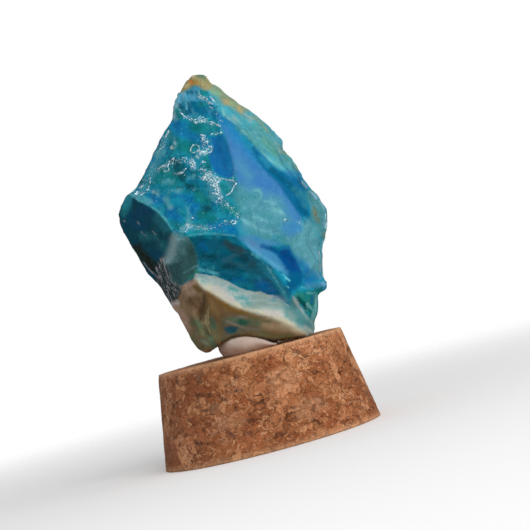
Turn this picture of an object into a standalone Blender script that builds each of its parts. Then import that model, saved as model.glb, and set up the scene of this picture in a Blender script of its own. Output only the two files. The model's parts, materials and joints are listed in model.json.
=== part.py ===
"""A rough piece of blue opal, stuck with a pat of putty on a tapered cork stand.

Metres, +Z up. The origin is the centre of the cork's base, and -Y is the side that the stone shows.
"""

import math

import bmesh
import bpy
from mathutils import Matrix, Vector
from mathutils.geometry import delaunay_2d_cdt

MM = 0.001

# The cork stand is a slice of a tapered stopper.
CORK_HEIGHT = 17.8 * MM
CORK_BASE_RADIUS = 21.5 * MM
CORK_TOP_RADIUS = 18.3 * MM
CORK_RIM_ROUND = 0.35 * MM
CORK_SIDES = 72

# The pat of putty between the cork and the stone, in millimetres over the cork's top.
PUTTY_CENTRE = (0.2, -3.6, 1.7)
PUTTY_HALF_SIZE = (5.7, 6.2, 2.7)
TOUCHING_GAP = 0.3 * MM

# The stone's landmarks are in millimetres: x, depth y, and z over the cork's top. Those of the outline
# and the front are where they look to be from EYE, on the plane y = 0, so that they can be read
# against a front view. Those of the back are where they are.
EYE = (7.2, -310.0, 7.0)
OUTLINE = {
    "tip_left": (2.9, 0.5, 54.9),
    "tip_right": (5.0, 0.8, 54.6),
    "tip_below": (5.9, 1.2, 53.0),
    "right_1": (8.7, 2.0, 49.4),
    "right_2": (11.7, 2.5, 45.5),
    "right_3": (14.5, 3.0, 41.7),
    "right_4": (16.4, 3.0, 38.0),
    "step_in": (16.2, 2.6, 36.4),
    "step_out": (17.5, 3.0, 34.3),
    "step_low": (17.9, 3.0, 32.8),
    "right_5": (18.5, 3.0, 30.2),
    "right_6": (20.3, 2.5, 26.2),
    "right_point": (20.9, 2.0, 23.4),
    "right_7": (20.7, 2.0, 20.6),
    "right_8": (19.9, 2.0, 18.7),
    "right_9": (18.5, 2.0, 15.7),
    "spur_top": (17.4, 1.0, 10.7),
    "spur_tip": (17.9, 0.2, 9.0),
    "spur_low": (17.2, 0.0, 8.2),
    "heel_1": (15.6, 0.0, 7.6),
    "heel_2": (15.1, -0.5, 6.0),
    "heel_3": (14.1, -1.5, 3.9),
    "heel_4": (13.3, -3.0, 2.6),
    "heel_5": (12.8, -5.0, 0.9),
    "sole_1": (11.0, -8.5, 0.8),
    "sole_2": (7.4, -9.8, 1.1),
    "sole_3": (3.6, -10.3, 2.0),
    "sole_4": (0.4, -10.5, 3.4),
    "sole_5": (-2.5, -10.4, 4.0),
    "sole_6": (-5.4, -9.8, 3.2),
    "toe": (-7.8, -7.5, 2.4),
    "left_1": (-9.1, -5.5, 3.1),
    "left_2": (-10.0, -3.5, 5.6),
    "left_3": (-10.7, -2.0, 8.6),
    "left_4": (-11.5, -1.0, 11.9),
    "left_5": (-12.8, 0.0, 15.3),
    "left_6": (-13.7, 0.3, 17.6),
    "left_7": (-14.8, 0.5, 20.0),
    "left_8": (-16.2, 1.0, 24.4),
    "left_9": (-17.6, 1.2, 28.6),
    "left_10": (-17.7, 1.4, 31.2),
    "left_11": (-17.2, 1.5, 32.9),
    "left_12": (-15.4, 1.2, 35.3),
    "left_13": (-13.6, 1.0, 36.2),
    "left_14": (-10.9, 1.0, 38.6),
    "left_15": (-8.3, 1.0, 42.0),
    "left_16": (-6.2, 0.8, 44.5),
    "left_17": (-3.0, 0.6, 47.4),
    "left_18": (-1.9, 0.5, 50.3),
    "left_19": (-0.6, 0.5, 51.8),
    "left_20": (1.4, 0.5, 53.8),
}
FRONT = {
    "tip_front": (3.9, -0.7, 53.6),
    "brow_hollow": (1.6, -1.2, 49.6),
    "brow_hollow_right": (4.2, -1.6, 50.2),
    "brow_left": (-1.0, -1.8, 48.2),
    "brow_middle": (1.7, -3.4, 46.3),
    "brow_right": (5.6, -4.3, 44.4),
    "lobe_1": (-3.0, -3.4, 43.5),
    "lobe_2": (-6.6, -3.6, 39.6),
    "lobe_3": (-10.4, -3.6, 35.8),
    "lobe_4": (-7.0, -7.6, 32.6),
    "lobe_5": (-2.8, -6.4, 38.2),
    "lobe_6": (1.6, -5.8, 40.6),
    "dip_1": (-4.4, -8.2, 35.0),
    "dip_2": (-1.0, -9.6, 32.8),
    "swell_1": (2.0, -9.8, 34.6),
    "swell_2": (-5.6, -10.6, 28.4),
    "swell_3": (0.4, -12.2, 28.2),
    "chip_top": (4.2, -5.6, 41.8),
    "chip_middle": (4.2, -7.0, 38.2),
    "chip_low": (4.2, -9.3, 34.6),
    "pane_1": (6.2, -6.8, 41.4),
    "pane_2": (6.4, -9.4, 36.0),
    "pane_3": (6.0, -11.4, 31.0),
    "pane_4": (5.2, -12.9, 26.0),
    "pane_5": (9.8, -10.3, 29.0),
    "pane_6": (10.6, -10.6, 23.4),
    "groove_1": (6.7, -3.0, 46.4),
    "groove_2": (8.3, -4.4, 42.4),
    "groove_3": (10.2, -6.0, 38.6),
    "groove_4": (12.2, -6.6, 35.2),
    "groove_5": (14.4, -6.2, 31.4),
    "groove_6": (16.4, -5.2, 27.6),
    "groove_7": (17.4, -4.8, 23.8),
    "bevel_1": (7.6, -2.6, 47.2),
    "bevel_2": (9.8, -4.1, 43.4),
    "bevel_3": (12.0, -5.3, 39.8),
    "bevel_4": (14.0, -5.4, 36.4),
    "bevel_5": (16.2, -4.6, 32.4),
    "bevel_6": (18.4, -3.0, 27.8),
    "bevel_7": (19.4, -1.8, 23.2),
    "flank_1": (14.6, -8.0, 23.0),
    "flank_2": (15.4, -7.0, 18.4),
    "flank_3": (17.0, -4.4, 13.8),
    "valley_1": (8.6, -11.1, 18.8),
    "valley_2": (11.7, -8.5, 15.6),
    "valley_3": (13.6, -6.6, 11.8),
    "knuckle": (14.8, -5.2, 9.2),
    "spur_base": (16.0, -2.6, 9.4),
    "cheek_edge_1": (-13.9, -3.2, 34.9),
    "cheek_edge_2": (-10.2, -7.6, 30.4),
    "cheek_1": (-14.2, -2.9, 29.0),
    "cheek_2": (-12.6, -4.6, 24.0),
    "cheek_low_1": (-11.9, -5.4, 20.4),
    "cheek_low_2": (-12.0, -4.4, 17.4),
    "ridge_corner": (-8.9, -10.4, 26.3),
    "ridge_1": (-6.2, -11.8, 25.2),
    "ridge_2": (-3.4, -12.5, 24.4),
    "ridge_3": (0.0, -13.0, 23.9),
    "ridge_4": (2.9, -13.4, 22.8),
    "ridge_5": (4.3, -13.3, 20.2),
    "ridge_6": (6.4, -12.9, 17.8),
    "ridge_7": (8.6, -12.2, 15.0),
    "ridge_8": (9.8, -11.0, 11.8),
    "ridge_9": (10.8, -9.6, 8.8),
    "ridge_10": (12.3, -7.2, 5.0),
    "glass_1": (-8.2, -8.8, 21.0),
    "recess_1": (-5.0, -9.4, 20.6),
    "recess_2": (-1.6, -9.8, 19.0),
    "recess_3": (2.2, -9.9, 16.6),
    "recess_4": (5.8, -9.7, 13.0),
    "crease_1": (-6.2, -8.8, 17.5),
    "crease_2": (-3.2, -8.6, 16.3),
    "crease_3": (-0.4, -8.5, 14.2),
    "crease_4": (2.0, -8.6, 12.1),
    "crease_5": (5.2, -8.8, 10.3),
    "crease_6": (8.0, -8.8, 8.8),
    "crease_7": (9.8, -8.6, 6.8),
    "ledge_left": (-9.2, -8.0, 15.9),
    "ledge_1": (-6.5, -11.6, 16.3),
    "ledge_2": (-5.5, -12.2, 14.2),
    "ledge_3": (-3.0, -12.6, 11.6),
    "ledge_4": (0.2, -12.8, 8.9),
    "ledge_5": (3.0, -12.8, 7.3),
    "ledge_6": (5.6, -12.5, 5.8),
    "ledge_7": (8.4, -11.8, 3.6),
    "ledge_8": (10.9, -10.2, 1.7),
    "face_1": (-4.6, -11.0, 10.4),
    "face_2": (-3.2, -11.2, 6.8),
    "face_3": (1.2, -11.6, 5.2),
    "face_4": (5.0, -11.2, 3.4),
    "notch_1": (-6.4, -10.0, 13.0),
    "notch_2": (-7.0, -8.6, 10.4),
    "notch_3": (-6.7, -8.8, 7.0),
    "knee_1": (-8.4, -9.0, 13.0),
    "knee_2": (-8.7, -8.9, 9.4),
    "knee_3": (-8.0, -8.8, 5.6),
}
FRONT_EDGES = (
    ("left_18", "brow_left", "brow_middle", "brow_right", "groove_1", "bevel_1", "right_1"),
    ("brow_right", "pane_1", "pane_2", "pane_3", "pane_4", "ridge_4"),
    ("chip_top", "pane_1"),
    ("groove_1", "groove_2", "groove_3", "groove_4", "groove_5", "groove_6", "groove_7"),
    ("bevel_1", "bevel_2", "bevel_3", "bevel_4", "bevel_5", "bevel_6", "bevel_7"),
    ("left_13", "cheek_edge_1", "cheek_edge_2", "ridge_corner", "cheek_2"),
    ("cheek_2", "cheek_low_1", "cheek_low_2", "ledge_left"),
    ("ridge_corner", "ridge_1", "ridge_2", "ridge_3", "ridge_4", "ridge_5", "ridge_6", "ridge_7"),
    ("ridge_7", "ridge_8", "ridge_9", "ridge_10", "heel_5"),
    ("cheek_low_1", "glass_1", "recess_1", "recess_2", "recess_3", "recess_4", "crease_6"),
    ("valley_1", "valley_2", "valley_3"),
    ("ledge_left", "crease_1", "crease_2", "crease_3", "crease_4", "crease_5", "crease_6", "crease_7"),
    ("crease_7", "ridge_10"),
    ("ledge_left", "ledge_1", "ledge_2", "ledge_3", "ledge_4", "ledge_5", "ledge_6", "ledge_7", "ledge_8"),
    ("ledge_8", "sole_1"),
    ("ledge_1", "notch_1", "notch_2", "notch_3", "sole_6"),
    ("ledge_left", "knee_1", "knee_2", "knee_3", "toe"),
)
BACK = {
    "back_tip": (3.8, 3.2, 52.6),
    "back_brow": (-0.4, 5.4, 47.4),
    "back_brow_right": (8.2, 6.0, 46.6),
    "back_lobe": (-6.6, 7.4, 40.4),
    "back_spine_1": (2.4, 9.8, 40.4),
    "back_right_1": (13.6, 7.6, 38.4),
    "back_shoulder": (-14.0, 6.0, 33.4),
    "back_cheek": (-15.0, 7.4, 27.6),
    "back_spine_2": (-2.6, 12.6, 31.8),
    "back_spine_3": (6.6, 12.4, 28.8),
    "back_right_2": (17.2, 8.0, 28.4),
    "back_right_3": (18.4, 6.8, 21.6),
    "back_waist": (-12.0, 8.4, 20.6),
    "back_belly": (-2.0, 12.0, 18.8),
    "back_belly_right": (9.4, 11.8, 17.0),
    "back_hip": (-9.2, 8.4, 10.6),
    "back_hip_right": (14.4, 6.8, 10.4),
    "back_foot_left": (-7.2, 5.2, 5.0),
    "back_foot": (1.0, 7.8, 6.4),
    "back_foot_right": (11.2, 5.2, 3.6),
    "arch_left": (-4.6, -2.0, 4.6),
    "arch_middle": (-0.4, -1.0, 5.2),
    "arch_right": (6.0, -1.0, 3.0),
}
BACK_EDGES = (
    ("back_tip", "back_brow", "back_lobe", "back_shoulder", "back_cheek", "back_waist", "back_hip"),
    ("back_hip", "back_foot_left", "back_foot", "back_foot_right", "back_hip_right"),
    ("back_tip", "back_brow_right", "back_right_1", "back_right_2", "back_right_3", "back_hip_right"),
    ("back_brow", "back_spine_1", "back_spine_2", "back_belly", "back_foot"),
    ("back_spine_1", "back_spine_3", "back_belly_right", "back_hip_right"),
    ("arch_left", "arch_middle", "arch_right"),
)

# How the broken surface is softened and made uneven. The softening takes some of a sharp edge away, so
# the outline starts larger by an allowance in millimetres. Each wave has a texture size and a depth.
SURFACE_VOXEL = 0.5 * MM
SOFTENING_STEPS = 2
EDGE_ALLOWANCE = 0.25
WAVES = {"swells": (7.0 * MM, 0.7 * MM), "ripples": (2.6 * MM, 0.3 * MM)}
STONE_TRIANGLES = 5600
PUTTY_TRIANGLES = 700


def collection(name):
    """A new collection in the scene."""
    made = bpy.data.collections.new(name)
    bpy.context.scene.collection.children.link(made)
    return made


def material(name, colour, roughness, metallic=0.0):
    """A Principled material of one colour."""
    made = bpy.data.materials.new(name)
    made.use_nodes = True
    shader = made.node_tree.nodes["Principled BSDF"]
    shader.inputs["Base Color"].default_value = (*colour, 1.0)
    shader.inputs["Roughness"].default_value = roughness
    shader.inputs["Metallic"].default_value = metallic
    return made


def new_object(name, bm, into):
    """An object that takes its mesh from bm, which is freed."""
    mesh = bpy.data.meshes.new(name)
    bm.to_mesh(mesh)
    bm.free()
    made = bpy.data.objects.new(name, mesh)
    into.objects.link(made)
    return made


def cutter(obj):
    """Marks an object as a helper that is not itself a part."""
    obj.hide_render = True
    obj.display_type = "WIRE"
    return obj


def as_seen(point):
    """Where a landmark is, from where it looks to be on the plane y = 0."""
    x, y, z = point
    nearer = (y - EYE[1]) / -EYE[1]
    return Vector((EYE[0] + (x - EYE[0]) * nearer, y, EYE[2] + (z - EYE[2]) * nearer))


def grown(loop, by):
    """The places of a clockwise loop in x and z, each pushed outwards by the same distance."""
    pushed = []
    for before, here, after in zip(loop[-1:] + loop[:-1], loop, loop[1:] + loop[:1]):
        along = (after - before).normalized()
        pushed.append(here + by * Vector((-along.z, 0.0, along.x)))
    return pushed


def add_side(bm, rim, inner, edges):
    """Spans the loop of named rim vertices with triangles that pass through the inner landmarks."""
    verts = dict(rim)
    for name, place in inner.items():
        verts[name] = bm.verts.new(place)
    names = list(verts)
    order = {name: i for i, name in enumerate(names)}
    kept = [(order[a], order[b]) for chain in edges for a, b in zip(chain, chain[1:])]
    flat = [Vector((verts[name].co.x, verts[name].co.z)) for name in names]
    loop = [order[name] for name in rim]
    _, _, triangles, came_from, _, _ = delaunay_2d_cdt(flat, kept, [loop], 1, 1e-6)
    for triangle in triangles:
        bm.faces.new([verts[names[came_from[i][0]]] for i in triangle])


def landmark_stone(into):
    """The stone as flat facets between its landmarks: a front and a back that share the outline."""
    bm = bmesh.new()
    outline = grown([as_seen(point) for point in OUTLINE.values()], EDGE_ALLOWANCE)
    rim = {name: bm.verts.new(place) for name, place in zip(OUTLINE, outline)}
    add_side(bm, rim, {name: as_seen(point) for name, point in FRONT.items()}, FRONT_EDGES)
    add_side(bm, rim, {name: Vector(point) for name, point in BACK.items()}, BACK_EDGES)
    bmesh.ops.recalc_face_normals(bm, faces=bm.faces)
    place = Matrix.Translation((0, 0, CORK_HEIGHT)) @ Matrix.Scale(MM, 4)
    bmesh.ops.transform(bm, matrix=place, verts=bm.verts)
    return new_object("opal", bm, into)


def roughen(obj, waves):
    """Pushes the surface in and out by cloud textures of a few sizes."""
    for name, (size, depth) in waves.items():
        texture = bpy.data.textures.new(name, "CLOUDS")
        texture.noise_scale = size
        texture.noise_depth = 1
        modifier = obj.modifiers.new(name, "DISPLACE")
        modifier.texture = texture
        modifier.texture_coords = "GLOBAL"
        modifier.mid_level = 0.5
        modifier.strength = depth


def bake(obj):
    """Replaces the object's mesh by its evaluated one, and drops its modifiers."""
    graph = bpy.context.evaluated_depsgraph_get()
    mesh = bpy.data.meshes.new_from_object(obj.evaluated_get(graph))
    obj.modifiers.clear()
    obj.data = mesh


def thin_out(obj, triangles):
    """Lowers the number of triangles, and keeps the most where the surface bends."""
    present = sum(len(face.vertices) - 2 for face in obj.data.polygons)
    modifier = obj.modifiers.new("thin out", "DECIMATE")
    modifier.ratio = min(1.0, triangles / present)
    modifier.use_collapse_triangulate = True


def build_stone(parts):
    """The opal: flat facets between landmarks, given a fine skin that is softened and then made uneven."""
    stone = landmark_stone(parts)
    skin = stone.modifiers.new("skin", "REMESH")
    skin.mode = "VOXEL"
    skin.voxel_size = SURFACE_VOXEL
    soften = stone.modifiers.new("soften", "SMOOTH")
    soften.factor = 0.5
    soften.iterations = SOFTENING_STEPS
    roughen(stone, WAVES)
    bake(stone)
    thin_out(stone, STONE_TRIANGLES)
    bake(stone)
    return stone


def build_putty(stone, parts, cutters):
    """A squashed pat, flat on the cork and pressed to the form of the stone's underside."""
    bm = bmesh.new()
    bmesh.ops.create_icosphere(bm, subdivisions=4, radius=1.0)
    centre = Vector(PUTTY_CENTRE) * MM + Vector((0, 0, CORK_HEIGHT))
    stretch = Matrix.Diagonal((*(size * MM for size in PUTTY_HALF_SIZE), 1.0))
    bmesh.ops.transform(bm, matrix=Matrix.Translation(centre) @ stretch, verts=bm.verts)
    cut = bmesh.ops.bisect_plane(
        bm,
        geom=[*bm.verts, *bm.edges, *bm.faces],
        plane_co=(0, 0, CORK_HEIGHT + TOUCHING_GAP),
        plane_no=(0, 0, -1),
        clear_outer=True,
    )
    rim = [e for e in cut["geom_cut"] if isinstance(e, bmesh.types.BMEdge)]
    bmesh.ops.contextual_create(bm, geom=rim)
    pat = new_object("putty", bm, parts)
    print_of_stone = cutter(bpy.data.objects.new("print_of_stone", stone.data.copy()))
    print_of_stone.location.z = -TOUCHING_GAP
    cutters.objects.link(print_of_stone)
    pressing = pat.modifiers.new("pressed by the stone", "BOOLEAN")
    pressing.operation = "DIFFERENCE"
    pressing.object = print_of_stone
    bake(pat)
    thin_out(pat, PUTTY_TRIANGLES)
    bake(pat)
    return pat


def build_cork(parts):
    """The cork stand, wider at its base, with slightly rounded rims."""
    bm = bmesh.new()
    bmesh.ops.create_cone(
        bm,
        cap_ends=True,
        segments=CORK_SIDES,
        radius1=CORK_BASE_RADIUS,
        radius2=CORK_TOP_RADIUS,
        depth=CORK_HEIGHT,
        matrix=Matrix.Translation((0, 0, CORK_HEIGHT / 2)),
    )
    cork = new_object("cork_stand", bm, parts)
    rounding = cork.modifiers.new("rounded rims", "BEVEL")
    rounding.width = CORK_RIM_ROUND
    rounding.segments = 2
    rounding.limit_method = "ANGLE"
    rounding.angle_limit = math.radians(45)
    return cork


def finish(obj, surface, sharp_deg):
    """Gives the object its material and smooth shading up to its sharp edges."""
    obj.data.materials.clear()
    obj.data.materials.append(surface)
    obj.data.shade_smooth()
    obj.data.set_sharp_from_angle(angle=math.radians(sharp_deg))


def main():
    for obj in list(bpy.data.objects):
        bpy.data.objects.remove(obj, do_unlink=True)
    parts = collection("blue_opal_on_cork")
    cutters = collection("cutters")
    stone = build_stone(parts)
    putty = build_putty(stone, parts, cutters)
    cork = build_cork(parts)
    finish(stone, material("blue opal", (0.03, 0.30, 0.45), 0.22), 35)
    finish(putty, material("putty", (0.72, 0.64, 0.60), 0.55), 60)
    finish(cork, material("cork", (0.50, 0.27, 0.13), 0.85), 40)


main()
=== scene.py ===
import json
import math
from functools import reduce

import bmesh
import bpy
import numpy as np
from mathutils import Euler, Matrix, Vector, noise

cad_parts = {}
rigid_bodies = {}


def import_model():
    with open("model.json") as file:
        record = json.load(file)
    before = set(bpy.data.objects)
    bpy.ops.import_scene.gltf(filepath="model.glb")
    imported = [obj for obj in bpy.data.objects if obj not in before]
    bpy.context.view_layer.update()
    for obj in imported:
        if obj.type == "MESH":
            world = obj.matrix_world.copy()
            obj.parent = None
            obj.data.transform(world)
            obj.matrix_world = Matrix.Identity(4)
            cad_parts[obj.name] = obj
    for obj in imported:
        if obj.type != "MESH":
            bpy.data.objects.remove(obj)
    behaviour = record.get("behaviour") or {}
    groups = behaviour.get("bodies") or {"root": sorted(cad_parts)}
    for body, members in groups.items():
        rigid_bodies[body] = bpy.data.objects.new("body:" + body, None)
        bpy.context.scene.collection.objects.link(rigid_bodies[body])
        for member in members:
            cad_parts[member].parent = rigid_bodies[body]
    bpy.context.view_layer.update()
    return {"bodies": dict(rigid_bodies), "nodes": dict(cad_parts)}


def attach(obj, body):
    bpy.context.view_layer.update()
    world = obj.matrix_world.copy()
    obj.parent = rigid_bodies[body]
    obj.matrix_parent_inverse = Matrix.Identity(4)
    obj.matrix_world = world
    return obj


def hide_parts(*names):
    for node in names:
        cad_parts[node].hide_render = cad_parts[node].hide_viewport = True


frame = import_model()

MM = 0.001
CORK_TOP = 17.8
CORK_BASE_RADIUS, CORK_TOP_RADIUS = 21.44, 18.25

# The photograph's camera: its place and the point that it looks at, in millimetres, its roll, how wide
# the view is at the plane y = 0, and the width of the sensor.
EYE = (7.2, -310.0, CORK_TOP + 7.0)
AIM = (7.2, 0.0, CORK_TOP + 15.74)
ROLL_DEG = 14.8
VIEW_WIDTH = 102.9
SENSOR_WIDTH = 36.0

# The sizes of the meshes' faces, in millimetres, and how near the thinnest marks they are split further.
STONE_MESH = 0.3
PUTTY_MESH = 0.14
FINE_WITHIN = 0.4

# The dressed cork's top is a little over the solid's, and the right edge of the stone's foot hangs a
# little lower, so that nothing floats over the solids' gaps.
CORK_DRESSED_TOP = CORK_TOP + 0.4
FOOT_DROP = 0.38

# The faces round the cork, up its side, and from the middle to the rim of its top and base, and the
# sizes of its large and small granules in millimetres.
CORK_AROUND, CORK_SIDE_ROWS, CORK_FLAT_ROWS = 420, 54, 44
GRANULE_SIZES = (5.0, 2.1)

# How high the front of the putty is against the solid's, at places along x in millimetres.
PUTTY_HEIGHTS = ((-4, 1.5), (-2, 1.2), (0, 1.1), (2, 1.0), (3, 0.84), (4, 0.62), (5, 0.42), (6, 0.3))

# What is added to a mark's distance, in millimetres, where its side of the surface is turned away.
HIDDEN = 12

# In metres: the floor's radius and its drop under the stand, and the height that the lights aim at. The
# floor fades away between the two distances from its middle, in millimetres.
FLOOR_RADIUS, FLOOR_DROP, LIT_HEIGHT = 0.5, 0.00005, 0.036
FLOOR_FADE = (260.0, 40.0)

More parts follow.
